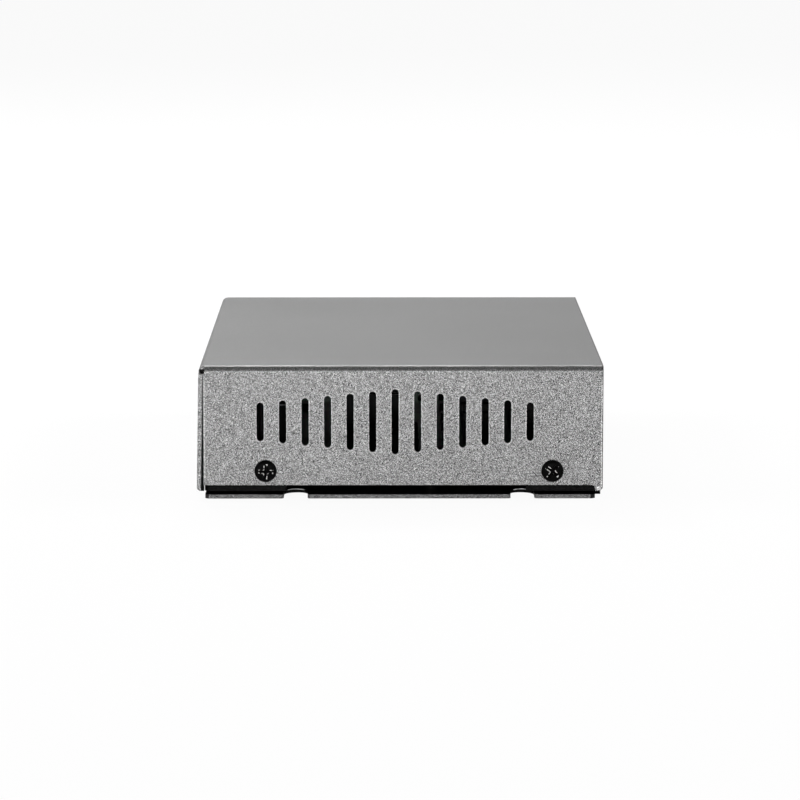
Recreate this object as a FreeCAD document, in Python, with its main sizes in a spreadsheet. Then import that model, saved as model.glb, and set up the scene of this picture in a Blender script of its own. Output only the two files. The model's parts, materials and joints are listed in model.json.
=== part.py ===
import FreeCAD, Part
import math
import os
import sys

import Sketcher

# A desktop power-over-ethernet switch: a folded steel cover with a row of slots in each side, screwed
# to a folded tray that carries the port panel and the circuit board with its jacks and parts.
# Millimetres. +Z is up, the ports face -Y, and the origin is the middle of the base.

DIMENSIONS = [
    ("case_width", 140.0, "between the outer faces of the two sides"),
    ("case_depth", 101.7, "from the cover's front edge to the foot of its rear panel"),
    ("case_height", 33.5, "from the tray's underside to the cover's top"),
    ("sheet", 1.0, "thickness of the cover's and the tray's steel"),
    ("bend_outer", 1.5, "outside radius of every fold"),
    ("rear_splay", 0.6, "how far the rear panel's foot stands out past its fold"),
    ("side_gap", 0.1, "between a side's rear edge and the top of the rear panel"),
    ("corner_relief", 1.7, "how far the rear fold stops short of a side's outer face"),
    ("corner_drop", 0.4, "how far the corner opening reaches below the folds"),
    ("side_bottom", 3.45, "height of a side's lower edge"),
    ("tab_bottom", 1.95, "height of the lower end of a side's front tab"),
    ("tab_width", 1.85, "length of the front tab along the side"),
    ("tab_round", 1.0, "radius of the front tab's outer corner"),
    ("tab_root", 1.1, "radius where the front tab joins the side's lower edge"),
    ("rear_bottom", 2.2, "height of the rear panel's lower edge"),
    ("rear_round", 0.6, "radius of the rear panel's lower outer edge"),
    ("flange_side", 0.1, "between a side's inner face and the rear panel's flange"),
    ("flange_bottom", 1.8, "height of the lower ends of the rear panel's flanges"),
    ("flange_clear", 0.1, "between the tray's rear wall and the rear panel's flanges"),
    ("slot_count", 13, "ventilation slots in each side"),
    ("slot_pitch", 5.625, "from slot to slot"),
    ("slot_width", 1.75, "across a slot"),
    ("slot_short", 9.75, "length of the first and last slot"),
    ("slot_step", 1.12, "growth in length from one slot to the next, towards the middle"),
    ("slot_height", 19.5, "height of the slots' middle"),
    ("slot_middle", 1.15, "place of the middle slot along the side"),
    ("screw_height", 7.05, "height of the cover screws"),
    ("screw_front", 12.62, "from the cover's front edge to the front pair of cover screws"),
    ("screw_rear", 17.25, "from the foot of the rear panel to the rear pair of cover screws"),
    ("screw_radius", 1.5, "outside radius of every screw's thread"),
    ("screw_length", 5.0, "of a cover screw under its head"),
    ("screw_head_radius", 2.8, "of a cover screw"),
    ("screw_head_height", 1.3, "of a cover screw"),
    ("screw_head_round", 0.8, "radius of a cover screw's rim"),
    ("recess_reach", 1.55, "half the length of a cross recess's arm"),
    ("recess_width", 0.7, "of a cross recess's arm"),
    ("recess_depth", 0.8, "of a cross recess"),
    ("screw_clearance", 0.1, "around a screw in a plain hole"),
    ("thread_clearance", 0.03, "around a screw in its threaded hole"),
    ("plate_inset", 0.2, "from a side's outer face in to the tray's edge"),
    ("front_recess", 0.2, "from the cover's front edge in to the port panel"),
    ("rear_wall_gap", 0.3, "between the rear panel and the tray's rear wall"),
    ("tongue_length", 6.4, "width of the tray's flat corners beside its reliefs"),
    ("tongue_front", 1.65, "from the port panel's face in to the tray's front corners"),
    ("tongue_rear", 0.15, "from the rear wall's face in to the tray's rear corners"),
    ("tongue_round", 1.2, "radius of the tray's corners in plan"),
    ("fold_relief", 1.6, "width of the flat end of the floor beside each fold"),
    ("notch_width", 6.0, "of each of the four open notches in the tray's long edges"),
    ("notch_depth", 8.6, "from the tray's edge to the notch's end"),
    ("notch_front", 17.05, "from the cover's front edge to the front notches"),
    ("notch_rear", 21.75, "from the foot of the rear panel to the rear notches"),
    ("notch_mouth", 0.8, "radius of the corners at a notch's mouth"),
    ("notch_inner", 2.5, "radius of a notch's end on its inner flank"),
    ("notch_outer", 3.3, "radius of a notch's end on its outer flank"),
    ("ear_bottom", 1.8, "height of the lower edge of the tray's four screw ears"),
    ("ear_top", 12.0, "height of the ears' upper edge and of the tray's rear wall"),
    ("ear_front", 19.0, "reach of a front ear back from the port panel's face"),
    ("ear_rear", 20.5, "reach of a rear ear forward from the rear wall's face"),
    ("ear_relief", 1.5, "height of the opening between an ear and the panel over it"),
    ("panel_side_gap", 0.3, "between the port panel's edge and a side"),
    ("panel_top_gap", 0.3, "between the port panel's edge and the cover's top"),
    ("board_side", 0.5, "between the ends of the cover screws and the board"),
    ("board_front", 1.6, "between the port panel's inner face and the board"),
    ("board_rear", 4.15, "between the tray's rear wall and the board"),
    ("board_thick", 1.6, "of the circuit board"),
    ("standoff_height", 4.0, "from the tray's upper face to the board"),
    ("standoff_radius", 2.75, "of a standoff"),
    ("spigot_radius", 2.1, "of a standoff's end where it is pressed into the tray"),
    ("standoff_side", 14.5, "from the board's side edge in to the standoffs"),
    ("standoff_clear", 0.6, "between a front standoff and the parts before and behind it"),
    ("standoff_rear", 5.0, "from the board's rear edge in to the rear pair of standoffs"),
    ("board_screw_length", 4.6, "of a board screw under its head"),
    ("board_head_radius", 2.6, "of a board screw"),
    ("board_head_height", 1.8, "of a board screw"),
    ("powered_ports", 4, "ports beside each other, before the uplink port"),
    ("port_gap", 0.7, "between two powered ports"),
    ("jack_width", 15.9, "of a jack over its shield"),
    ("jack_height", 13.4, "of a jack over its shield, from the board"),
    ("jack_depth", 21.3, "of a jack over its shield"),
    ("shield", 0.25, "thickness of a jack's shield"),
    ("jack_proud", 0.2, "how far the jacks stand out of the port panel"),
    ("panel_hole_gap", 0.2, "around a jack in the port panel"),
    ("plug_width", 11.9, "of a jack's opening"),
    ("plug_bottom", 3.3, "from the board to the opening's floor"),
    ("plug_height", 7.0, "of a jack's opening"),
    ("plug_depth", 14.5, "of a jack's opening"),
    ("latch_width", 6.2, "of the latch's slot under the opening"),
    ("latch_drop", 1.8, "from the opening's floor to the latch slot's floor"),
    ("comb_width", 9.2, "of the contacts' recess over the opening"),
    ("comb_rise", 1.6, "height of the contacts' recess"),
    ("contact_count", 8, "spring contacts in a jack"),
    ("contact_pitch", 1.02, "from contact to contact"),
    ("contact_thick", 0.4, "of a spring contact"),
    ("contact_start", 3.0, "from the jack's front to the contacts"),
    ("contact_length", 10.5, "of a spring contact"),
    ("contact_tilt", 8.0, "of a spring contact, in degrees down towards the back"),
    ("contact_gap", 0.1, "between a contact and the roof of its recess"),
    ("led_columns", 5, "columns of lamps"),
    ("led_pitch", 2.8, "from column to column"),
    ("led_low", 5.6, "from the board to the lower row of lamps"),
    ("led_rise", 4.4, "from the lower row of lamps to the upper row"),
    ("led_radius", 1.0, "of a lamp"),
    ("led_nose", 0.7, "radius of a lamp's nose"),
    ("led_hole_gap", 0.12, "around a lamp in the port panel"),
    ("led_sink", 3.0, "how deep a lamp sits in its holder"),
    ("holder_width", 13.6, "of the lamps' holder"),
    ("holder_height", 12.0, "of the lamps' holder"),
    ("holder_depth", 6.0, "of the lamps' holder"),
    ("holder_gap", 0.2, "between the holder and the port panel"),
    ("inlet_width", 9.0, "of the power inlet"),
    ("inlet_height", 11.0, "of the power inlet, from the board"),
    ("inlet_depth", 14.0, "of the power inlet"),
    ("inlet_axis", 6.5, "from the board to the inlet's axis"),
    ("inlet_bore", 3.2, "radius of the inlet's opening"),
    ("inlet_bore_depth", 9.5, "of the inlet's opening"),
    ("inlet_pin_radius", 1.05, "of the inlet's pin"),
    ("inlet_pin_length", 8.5, "of the inlet's pin"),
    ("transformer_width", 12.8, "of a line transformer"),
    ("transformer_depth", 9.6, "of a line transformer"),
    ("transformer_height", 6.0, "of a line transformer"),
    ("transformer_gap", 3.0, "between a jack's back and its line transformer"),
    ("chip_side", 14.0, "of the switching chip"),
    ("chip_height", 1.4, "of the switching chip"),
    ("chip_x", 8.0, "middle of the switching chip across the board"),
    ("chip_y", 8.0, "middle of the switching chip along the board"),
    ("sink_side", 20.0, "of the chip's heat sink"),
    ("sink_base", 1.6, "of the heat sink's floor"),
    ("sink_height", 8.0, "of the heat sink"),
    ("fin_count", 6, "of the heat sink"),
    ("fin_thick", 1.2, "of the heat sink's fins"),
    ("capacitor_radius", 5.0, "of a bulk capacitor"),
    ("capacitor_height", 16.0, "of a bulk capacitor"),
    ("capacitor_groove", 0.35, "depth of the rolled groove near its foot"),
    ("capacitor_x", 9.4, "from the board's left edge to the first bulk capacitor"),
    ("capacitor_y", 13.4, "from the board's rear edge to the bulk capacitors"),
    ("capacitor_pitch", 12.0, "from capacitor to capacitor"),
    ("coil_side", 12.0, "of a power inductor"),
    ("coil_height", 7.0, "of a power inductor"),
    ("coil_round", 2.5, "radius of a power inductor's corners"),
    ("coil_x", 10.0, "from the board's left edge to the first power inductor"),
    ("coil_pitch", 16.0, "from inductor to inductor"),
    ("crystal_length", 11.0, "of the crystal's can"),
    ("crystal_width", 4.6, "of the crystal's can"),
    ("crystal_height", 3.5, "of the crystal's can"),
    ("power_controller_x", -14.0, "middle across the board"),
    ("power_controller_y", 8.0, "middle along the board"),
    ("power_controller_width", 9.0, "across the board"),
    ("power_controller_length", 9.0, "along the board"),
    ("power_controller_height", 1.0, "over the board"),
    ("flash_chip_x", 34.0, "middle across the board"),
    ("flash_chip_y", 24.0, "middle along the board"),
    ("flash_chip_width", 5.2, "across the board"),
    ("flash_chip_length", 5.2, "along the board"),
    ("flash_chip_height", 1.8, "over the board"),
    ("step_down_chip_x", 24.5, "from the board's left edge"),
    ("step_down_chip_y", 16.6, "from the backs of the jacks"),
    ("step_down_chip_width", 5.0, "across the board"),
    ("step_down_chip_length", 6.0, "along the board"),
    ("step_down_chip_height", 1.6, "over the board"),
    ("input_fuse_x", 10.5, "from the board's left edge"),
    ("input_fuse_y", 6.5, "from the backs of the jacks"),
    ("input_fuse_width", 3.0, "across the board"),
    ("input_fuse_length", 9.0, "along the board"),
    ("input_fuse_height", 3.0, "over the board"),
    ("surge_gap", 2.9, "between a line transformer and its surge diode"),
    ("surge_width", 4.4, "across the board"),
    ("surge_length", 2.6, "along the board"),
    ("surge_height", 2.2, "over the board"),
    ("passive_count", 10, "small parts in each row on the board"),
    ("passive_x", -10.0, "middle of the first small part of each row"),
    ("passive_y", 4.0, "from the board's rear edge to the last row of small parts"),
    ("passive_row", 3.5, "from row to row"),
    ("passive_pitch", 4.2, "from one small part to the next"),
    ("ceramic_length", 2.0, "of a ceramic capacitor"),
    ("ceramic_width", 1.25, "of a ceramic capacitor"),
    ("ceramic_height", 1.2, "of a ceramic capacitor"),
    ("resistor_length", 1.6, "of a chip resistor"),
    ("resistor_width", 0.8, "of a chip resistor"),
    ("resistor_height", 0.5, "of a chip resistor"),
]

doc = FreeCAD.newDocument("poe_switch")
dims = doc.addObject("Spreadsheet::Sheet", "dims")
for row, (alias, number, note) in enumerate(DIMENSIONS, 1):
    dims.set(f"A{row}", alias)
    dims.set(f"B{row}", str(number))
    dims.set(f"C{row}", note)
    dims.setAlias(f"B{row}", alias)
doc.recompute()

# Places that several pieces share, as expressions on the sheet.
SIDE_OUT = "dims.case_width / 2"
SIDE_IN = "(dims.case_width / 2 - dims.sheet)"
COVER_FRONT = "(-dims.case_depth / 2)"
REAR_FOOT = "dims.case_depth / 2"
REAR_OUT = f"({REAR_FOOT} - dims.rear_splay)"
REAR_IN = f"({REAR_OUT} - dims.sheet)"
SIDE_REAR = f"({REAR_IN} - dims.side_gap)"
TOP = "dims.case_height"
TOP_IN = "(dims.case_height - dims.sheet)"
BEND_INNER = "(dims.bend_outer - dims.sheet)"
PANEL_OUT = f"({COVER_FRONT} + dims.front_recess)"
PANEL_IN = f"({PANEL_OUT} + dims.sheet)"
WALL_OUT = f"({REAR_IN} - dims.rear_wall_gap)"
WALL_IN = f"({WALL_OUT} - dims.sheet)"
RELIEF_END = f"({SIDE_OUT} - dims.tongue_length)"
FOLD_END = f"({RELIEF_END} - dims.fold_relief)"
BOARD_BOTTOM = "(dims.sheet + dims.standoff_height)"
BOARD_TOP = f"({BOARD_BOTTOM} + dims.board_thick)"
BOARD_FRONT = f"({PANEL_IN} + dims.board_front)"
BOARD_REAR = f"({WALL_IN} - dims.board_rear)"
BOARD_SIDE = f"({SIDE_OUT} - dims.screw_length - dims.board_side)"
JACK_FRONT = f"({PANEL_OUT} - dims.jack_proud)"
JACK_BACK = f"({JACK_FRONT} + dims.jack_depth)"
SURGE_FRONT = (f"({JACK_BACK} + dims.transformer_gap + dims.transformer_depth"
               " + dims.surge_gap)")
SCREW_FRONT = f"({COVER_FRONT} + dims.screw_front)"
SCREW_REAR = f"({REAR_FOOT} - dims.screw_rear)"
NOTCH_FRONT = f"({COVER_FRONT} + dims.notch_front)"
NOTCH_REAR = f"({REAR_FOOT} - dims.notch_rear)"
STANDOFF_X = f"({BOARD_SIDE} - dims.standoff_side)"
STANDOFF_FRONT = (f"({SURGE_FRONT} + dims.surge_length + dims.standoff_clear"
                  " + dims.standoff_radius)")
STANDOFF_REAR = f"({BOARD_REAR} - dims.standoff_rear)"

# The pieces along the panel, from the left: inlet, lamps, powered ports and uplink port. The room that
# they leave over the board's width is shared out evenly beside them.
PORT_PITCH = "(dims.jack_width + dims.port_gap)"
ROW_FILLED = (f"(dims.inlet_width + dims.holder_width + dims.powered_ports * {PORT_PITCH}"
              " - dims.port_gap + dims.jack_width)")
ROW_GAP = f"((2 * {BOARD_SIDE} - {ROW_FILLED}) / 5)"
INLET_X = f"({ROW_GAP} + dims.inlet_width / 2 - {BOARD_SIDE})"
LAMPS_X = f"({INLET_X} + {ROW_GAP} + (dims.inlet_width + dims.holder_width) / 2)"
PORT_X = f"({LAMPS_X} + {ROW_GAP} + (dims.holder_width + dims.jack_width) / 2)"


def size(expression):
    """The number that an expression on the sheet stands for."""
    return float(dims.evalExpression(expression))


# Sketches

class Outline:
    """A sketch on one of a body's own planes, with every point tied to the sheet."""

    def __init__(self, body, plane, name, offset="0 * dims.sheet"):
        self.sketch = body.newObject("Sketcher::SketchObject", name)
        support = next(item for item in body.Origin.OriginFeatures if item.Role == plane)
        self.sketch.AttachmentSupport = [(support, "")]
        self.sketch.MapMode = "FlatFace"
        self.sketch.setExpression("AttachmentOffset.Base.z", offset)
        self.pieces, self.rules, self.bindings = [], [], {}

    def add(self, piece):
        """Keep one line, arc or circle, and give its number."""
        self.pieces.append(piece)
        return len(self.pieces) - 1

    def join(self, *ends):
        """Keep two ends of pieces together."""
        self.rules.append(Sketcher.Constraint("Coincident", *ends))

    def bind(self, expression, kind, *place):
        """Keep one constraint, with its value bound to an expression."""
        self.bindings[len(self.rules)] = expression
        self.rules.append(Sketcher.Constraint(kind, *place, size(expression)))

    def finish(self):
        """Put everything that was drawn into the sketch."""
        self.sketch.addGeometry(self.pieces, False)
        self.sketch.addConstraint(self.rules)
        for number, expression in self.bindings.items():
            self.sketch.setExpression(f"Constraints[{number}]", expression)
        return self.sketch

    def tie(self, piece, end, x, y):
        """Tie one point of one piece to its distances from the origin."""
        self.bind(x, "DistanceX", -1, 1, piece, end)
        self.bind(y, "DistanceY", -1, 1, piece, end)

    def path(self, corners):
        """Draw a closed path through (x, y) corners; a third value rounds that corner.

        A rounded corner's arc starts and ends one radius from the corner along the axis that its
        side mostly follows.
        """
        spots = [(size(corner[0]), size(corner[1])) for corner in corners]
        stops = []
        for here, corner in enumerate(corners):
            if len(corner) == 2:
                stops.append((corner, None))
                continue
            x, y, radius = corner
            for other in (here - 1, (here + 1) % len(corners)):
                run = spots[other][0] - spots[here][0], spots[other][1] - spots[here][1]
                if abs(run[0]) > abs(run[1]):
                    stop = (f"{x} + {int(math.copysign(1, run[0]))} * {radius}", y)
                else:
                    stop = (x, f"{y} + {int(math.copysign(1, run[1]))} * {radius}")
                stops.append((stop, (radius, spots[here]) if other == here - 1 else None))
        self.draw(stops)

    def draw(self, stops):
        """Draw lines and arcs from stop to stop; a stop with a round starts an arc.

        A straight piece of no length, where a round begins at a corner, is left out.
        """
        points = [FreeCAD.Vector(size(x), size(y), 0) for (x, y), _ in stops]
        kept = [here for here, (_, bend) in enumerate(stops)
                if bend or not points[here].isEqual(points[(here + 1) % len(points)], 1e-7)]
        stops, points = [stops[here] for here in kept], [points[here] for here in kept]
        ends = []
        for here, ((x, y), bend) in enumerate(stops):
            start, finish = points[here], points[(here + 1) % len(points)]
            if bend is None:
                ends.append((self.add(Part.LineSegment(start, finish)), 1, 2))
            else:
                ends.append(self.arc(start, finish, *bend))
        for here, (piece, first, _) in enumerate(ends):
            before, _, last = ends[here - 1]
            self.join(before, last, piece, first)
            straight = (piece, first) if stops[here][1] is None else (before, last)
            self.tie(*straight, *stops[here][0])

    def arc(self, start, finish, radius, corner):
        """A quarter round from start to finish, on the far side from its corner."""
        chord = finish - start
        middle = (start + finish) / 2
        inward = middle - FreeCAD.Vector(corner[0], corner[1], 0)
        reach = size(radius)
        rise = math.sqrt(max(reach ** 2 - (chord.Length / 2) ** 2, 0))
        centre = middle + inward.normalize() * rise
        turn = (start - centre).cross(finish - centre).z
        first, last = (start, finish) if turn > 0 else (finish, start)
        angles = [math.atan2(spot.y - centre.y, spot.x - centre.x) for spot in (first, last)]
        circle = Part.Circle(centre, FreeCAD.Vector(0, 0, 1), reach)
        piece = self.add(Part.ArcOfCircle(circle, *angles))
        self.bind(radius, "Radius", piece)
        return (piece, 1, 2) if turn > 0 else (piece, 2, 1)

    def rectangle(self, x, y):
        """A rectangle between two x and two y expressions."""
        self.path([(x[0], y[0]), (x[1], y[0]), (x[1], y[1]), (x[0], y[1])])

    def circle(self, x, y, radius):
        """A circle with its middle and radius tied to the sheet."""
        middle = FreeCAD.Vector(size(x), size(y), 0)
        piece = self.add(Part.Circle(middle, FreeCAD.Vector(0, 0, 1), size(radius)))
        self.tie(piece, 3, x, y)
        self.bind(radius, "Radius", piece)

    def slot(self, x, y, width, length):
        """An upright slot with round ends."""
        left, right = f"{x} - {width} / 2", f"{x} + {width} / 2"
        low, high = f"{y} - ({length} - {width}) / 2", f"{y} + ({length} - {width}) / 2"
        corners = [(left, high), (left, low), (right, low), (right, high)]
        spots = [FreeCAD.Vector(size(across), size(up), 0) for across, up in corners]
        sides = []
        for first in (0, 2):
            sides.append(self.add(Part.LineSegment(spots[first], spots[first + 1])))
            self.tie(sides[-1], 1, *corners[first])
            self.tie(sides[-1], 2, *corners[first + 1])
        for end, turn, first, last in ((low, math.pi, 0, 1), (high, 0, 1, 0)):
            middle = FreeCAD.Vector(size(x), size(end), 0)
            circle = Part.Circle(middle, FreeCAD.Vector(0, 0, 1), size(width) / 2)
            round_end = self.add(Part.ArcOfCircle(circle, turn, turn + math.pi))
            self.join(sides[first], 2, round_end, 1)
            self.join(round_end, 2, sides[last], 1)
            self.bind(end, "DistanceY", -1, 1, round_end, 3)


# Features of a body

def pad(body, outline, length, symmetric=False, backwards=False):
    """Raise an outline into material."""
    feature = body.newObject("PartDesign::Pad", outline.sketch.Name + "_pad")
    feature.Profile = outline.finish()
    feature.SideType = "Symmetric" if symmetric else "One side"
    feature.Reversed = backwards
    feature.setExpression("Length", length)
    return feature


def pocket(body, outline, length, symmetric=False):
    """Cut an outline out of the body."""
    feature = body.newObject("PartDesign::Pocket", outline.sketch.Name + "_cut")
    feature.Profile = outline.finish()
    feature.SideType = "Symmetric" if symmetric else "One side"
    feature.setExpression("Length", length)
    return feature


def revolve(body, outline):
    """Turn an outline about the sketch's upright axis."""
    feature = body.newObject("PartDesign::Revolution", outline.sketch.Name + "_turn")
    feature.Profile = outline.finish()
    feature.ReferenceAxis = (outline.sketch, ["V_Axis"])
    feature.Angle = 360
    return feature


def mirror(body, feature, plane):
    """Repeat a feature on the other side of one of the body's own planes."""
    twin = body.newObject("PartDesign::Mirrored", feature.Name + "_twin")
    twin.Originals = [feature]
    support = next(item for item in body.Origin.OriginFeatures if item.Role == plane)
    twin.MirrorPlane = (support, [""])
    body.Tip = twin
    return twin


def round_edges(body, radius, wanted):
    """Fillet the edges of the body whose middle passes the test."""
    doc.recompute()
    base = body.Tip
    names = [f"Edge{number}" for number, edge in enumerate(base.Shape.Edges, 1)
             if wanted(edge.CenterOfMass)]
    feature = body.newObject("PartDesign::Fillet", "rounded")
    feature.Base = (base, names)
    feature.setExpression("Radius", radius)
    return feature


# Plain solids

def box(name, x, y, z):
    """A block between pairs of expressions."""
    item = doc.addObject("Part::Box", name)
    for side, axis, (low, high) in zip(("Length", "Width", "Height"), "xyz", (x, y, z)):
        item.setExpression(side, f"({high}) - ({low})")
        item.setExpression(f"Placement.Base.{axis}", low)
    return item


TURNS = {
    "x": FreeCAD.Rotation(FreeCAD.Vector(0, 1, 0), 90),
    "y": FreeCAD.Rotation(FreeCAD.Vector(1, 0, 0), -90),
    "z": FreeCAD.Rotation(),
}


def rod(name, axis, radius, across, span):
    """A cylinder along one axis, from span[0] to span[1], at its place on the other two axes."""
    item = doc.addObject("Part::Cylinder", name)
    item.setExpression("Radius", radius)
    item.setExpression("Height", f"({span[1]}) - ({span[0]})")
    item.Placement = FreeCAD.Placement(FreeCAD.Vector(), TURNS[axis])
    place = dict(zip([other for other in "xyz" if other != axis], across))
    place[axis] = span[0]
    for other, expression in place.items():
        item.setExpression(f"Placement.Base.{other}", expression)
    return item


def joined(name, items):
    """Several overlapping solids as one."""
    if len(items) == 1:
        return items[0]
    item = doc.addObject("Part::MultiFuse", name)
    item.Shapes = items
    item.Refine = True
    return item


def cut(name, base, tools):
    """One solid less others."""
    item = doc.addObject("Part::Cut", name)
    item.Base = base
    item.Tool = joined(name + "_tools", tools)
    return item


def grouped(name, items):
    """Separate solids under one name."""
    item = doc.addObject("Part::Compound", name)
    item.Links = items
    return item


def around(middle, width):
    """The two ends of a width about a middle."""
    return f"{middle} - {width} / 2", f"{middle} + {width} / 2"


# The case

def top_cover():
    """The cover: top, two sides and a rear panel with a narrow flange at each end, one sheet."""
    body = doc.addObject("PartDesign::Body", "top_cover")
    fold_start = f"({REAR_OUT} - dims.bend_outer)"

    arch = Outline(body, "XZ_Plane", "cover_arch", f"-{COVER_FRONT}")
    arch.path([
        (f"-{SIDE_OUT}", "dims.tab_bottom"), (f"-{SIDE_OUT}", TOP, "dims.bend_outer"),
        (SIDE_OUT, TOP, "dims.bend_outer"), (SIDE_OUT, "dims.tab_bottom"),
        (SIDE_IN, "dims.tab_bottom"), (SIDE_IN, TOP_IN, BEND_INNER),
        (f"-{SIDE_IN}", TOP_IN, BEND_INNER), (f"-{SIDE_IN}", "dims.tab_bottom")])
    pad(body, arch, f"{fold_start} - {COVER_FRONT}", backwards=True)

    rear = Outline(body, "YZ_Plane", "cover_rear")
    rear.path([
        (fold_start, TOP), (REAR_OUT, TOP, "dims.bend_outer"),
        (REAR_FOOT, "dims.rear_bottom", "dims.rear_round"),
        (f"{REAR_FOOT} - dims.sheet", "dims.rear_bottom"),
        (REAR_IN, TOP_IN, BEND_INNER), (fold_start, TOP_IN)])
    pad(body, rear, "dims.case_width", symmetric=True)

    hem_top = f"({TOP} - dims.bend_outer - dims.corner_drop)"
    flange_front = f"({WALL_OUT} + dims.flange_clear)"
    flange = Outline(body, "YZ_Plane", "cover_flange", f"{SIDE_IN} - dims.flange_side")
    flange.path([
        (flange_front, "dims.flange_bottom"), (f"{REAR_FOOT} - dims.sheet / 2", "dims.flange_bottom"),
        (f"{REAR_OUT} - dims.sheet / 2", hem_top), (flange_front, hem_top)])
    mirror(body, pad(body, flange, "dims.sheet", backwards=True), "YZ_Plane")

    opening_top = "(dims.case_height + dims.sheet)"
    corners = Outline(body, "XY_Plane", "cover_corners", opening_top)
    inner, outer = f"({SIDE_OUT} - dims.corner_relief)", f"({SIDE_OUT} + dims.sheet)"
    behind = f"{REAR_FOOT} + dims.sheet"
    corners.rectangle((inner, outer), (fold_start, behind))
    corners.rectangle((f"-{outer}", f"-{inner}"), (fold_start, behind))
    pocket(body, corners, "dims.sheet + dims.bend_outer + dims.corner_drop")

    hem = Outline(body, "XZ_Plane", "cover_side_ends", f"-{fold_start}")
    hem.rectangle((SIDE_IN, SIDE_OUT), ("dims.side_bottom", hem_top))
    hem.rectangle((f"-{SIDE_OUT}", f"-{SIDE_IN}"), ("dims.side_bottom", hem_top))
    pad(body, hem, f"{SIDE_REAR} - {fold_start}", backwards=True)

    tab_back = f"({COVER_FRONT} + dims.tab_width)"
    lower = Outline(body, "YZ_Plane", "cover_lower_edge")
    lower.path([
        (tab_back, "0 * dims.sheet"), (fold_start, "0 * dims.sheet"),
        (fold_start, "dims.side_bottom"), (tab_back, "dims.side_bottom", "dims.tab_root")])
    pocket(body, lower, "dims.case_width", symmetric=True)

    front, foot = size(COVER_FRONT), size("dims.tab_bottom")
    round_edges(body, "dims.tab_round",
                lambda spot: abs(spot.y - front) < 1e-6 and abs(spot.z - foot) < 1e-6)

    middle = (int(size("dims.slot_count")) - 1) / 2
    for growth in range(math.floor(middle) + 1):
        step = middle - growth
        vents = Outline(body, "YZ_Plane", f"cover_slots_{growth + 1}")
        for offset in sorted({-step, step}):
            vents.slot(f"dims.slot_middle + {offset} * dims.slot_pitch", "dims.slot_height",
                       "dims.slot_width", f"(dims.slot_short + {growth} * dims.slot_step)")
        pocket(body, vents, "dims.case_width", symmetric=True)

    holes = Outline(body, "YZ_Plane", "cover_screw_holes")
    for along in (SCREW_FRONT, SCREW_REAR):
        holes.circle(along, "dims.screw_height", "dims.screw_radius + dims.screw_clearance")
    pocket(body, holes, "dims.case_width", symmetric=True)
    return body


def tray_plan():
    """Corners of the +X half of the tray's floor, with its notches, from front to rear."""
    edge = f"({SIDE_OUT} - dims.plate_inset)"
    depth = f"({edge} - dims.notch_depth)"
    front_end = f"({PANEL_OUT} + dims.tongue_front)"
    rear_end = f"({WALL_OUT} - dims.tongue_rear)"
    front_in = f"({NOTCH_FRONT} + dims.notch_width)"
    rear_in = f"({NOTCH_REAR} - dims.notch_width)"
    middle_front = f"({PANEL_OUT} + 2 * dims.bend_outer)"
    middle_rear = f"({WALL_OUT} - 2 * dims.bend_outer)"
    centre = "0 * dims.sheet"
    return [
        (centre, middle_front), (FOLD_END, middle_front), (FOLD_END, PANEL_OUT),
        (RELIEF_END, PANEL_OUT), (RELIEF_END, front_end),
        (edge, front_end, "dims.tongue_round"),
        (edge, NOTCH_FRONT, "dims.notch_mouth"), (depth, NOTCH_FRONT, "dims.notch_outer"),
        (depth, front_in, "dims.notch_inner"), (edge, front_in, "dims.notch_mouth"),
        (edge, rear_in, "dims.notch_mouth"), (depth, rear_in, "dims.notch_inner"),
        (depth, NOTCH_REAR, "dims.notch_outer"), (edge, NOTCH_REAR, "dims.notch_mouth"),
        (edge, rear_end, "dims.tongue_round"), (FOLD_END, rear_end), (FOLD_END, middle_rear),
        (centre, middle_rear)]


def notch_paths():
    """Corners of each of the tray's four notches, from its open mouth to its rounded end."""
    mouth, depth = f"({SIDE_OUT} + dims.sheet)", f"({SIDE_OUT} - dims.plate_inset - dims.notch_depth)"
    paths = []
    for side in (1, -1):
        for outer_flank, inwards in ((NOTCH_FRONT, 1), (NOTCH_REAR, -1)):
            inner_flank = f"({outer_flank} + {inwards} * dims.notch_width)"
            paths.append([
                (f"{side} * {mouth}", outer_flank),
                (f"{side} * {depth}", outer_flank, "dims.notch_outer"),
                (f"{side} * {depth}", inner_flank, "dims.notch_inner"),
                (f"{side} * {mouth}", inner_flank)])
    return paths


def ear_outline(body, name, side, face, inner_face, reach, facing):
    """An ear seen from above: a short length of wall, its fold and the ear along the case's side.

    side is +1 or -1 across the case. facing is +1 where the ear runs towards +Y from its wall.
    """
    def across(expression):
        return f"{side} * ({expression})"

    start = across(f"{SIDE_IN} - dims.bend_outer")
    end = f"{face} + {facing} * {reach}"
    ear = Outline(body, "XY_Plane", name, "dims.ear_bottom")
    ear.path([
        (start, face), (across(SIDE_IN), face, "dims.bend_outer"), (across(SIDE_IN), end),
        (across(f"{SIDE_IN} - dims.sheet"), end),
        (across(f"{SIDE_IN} - dims.sheet"), inner_face, BEND_INNER), (start, inner_face)])
    return ear


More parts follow.
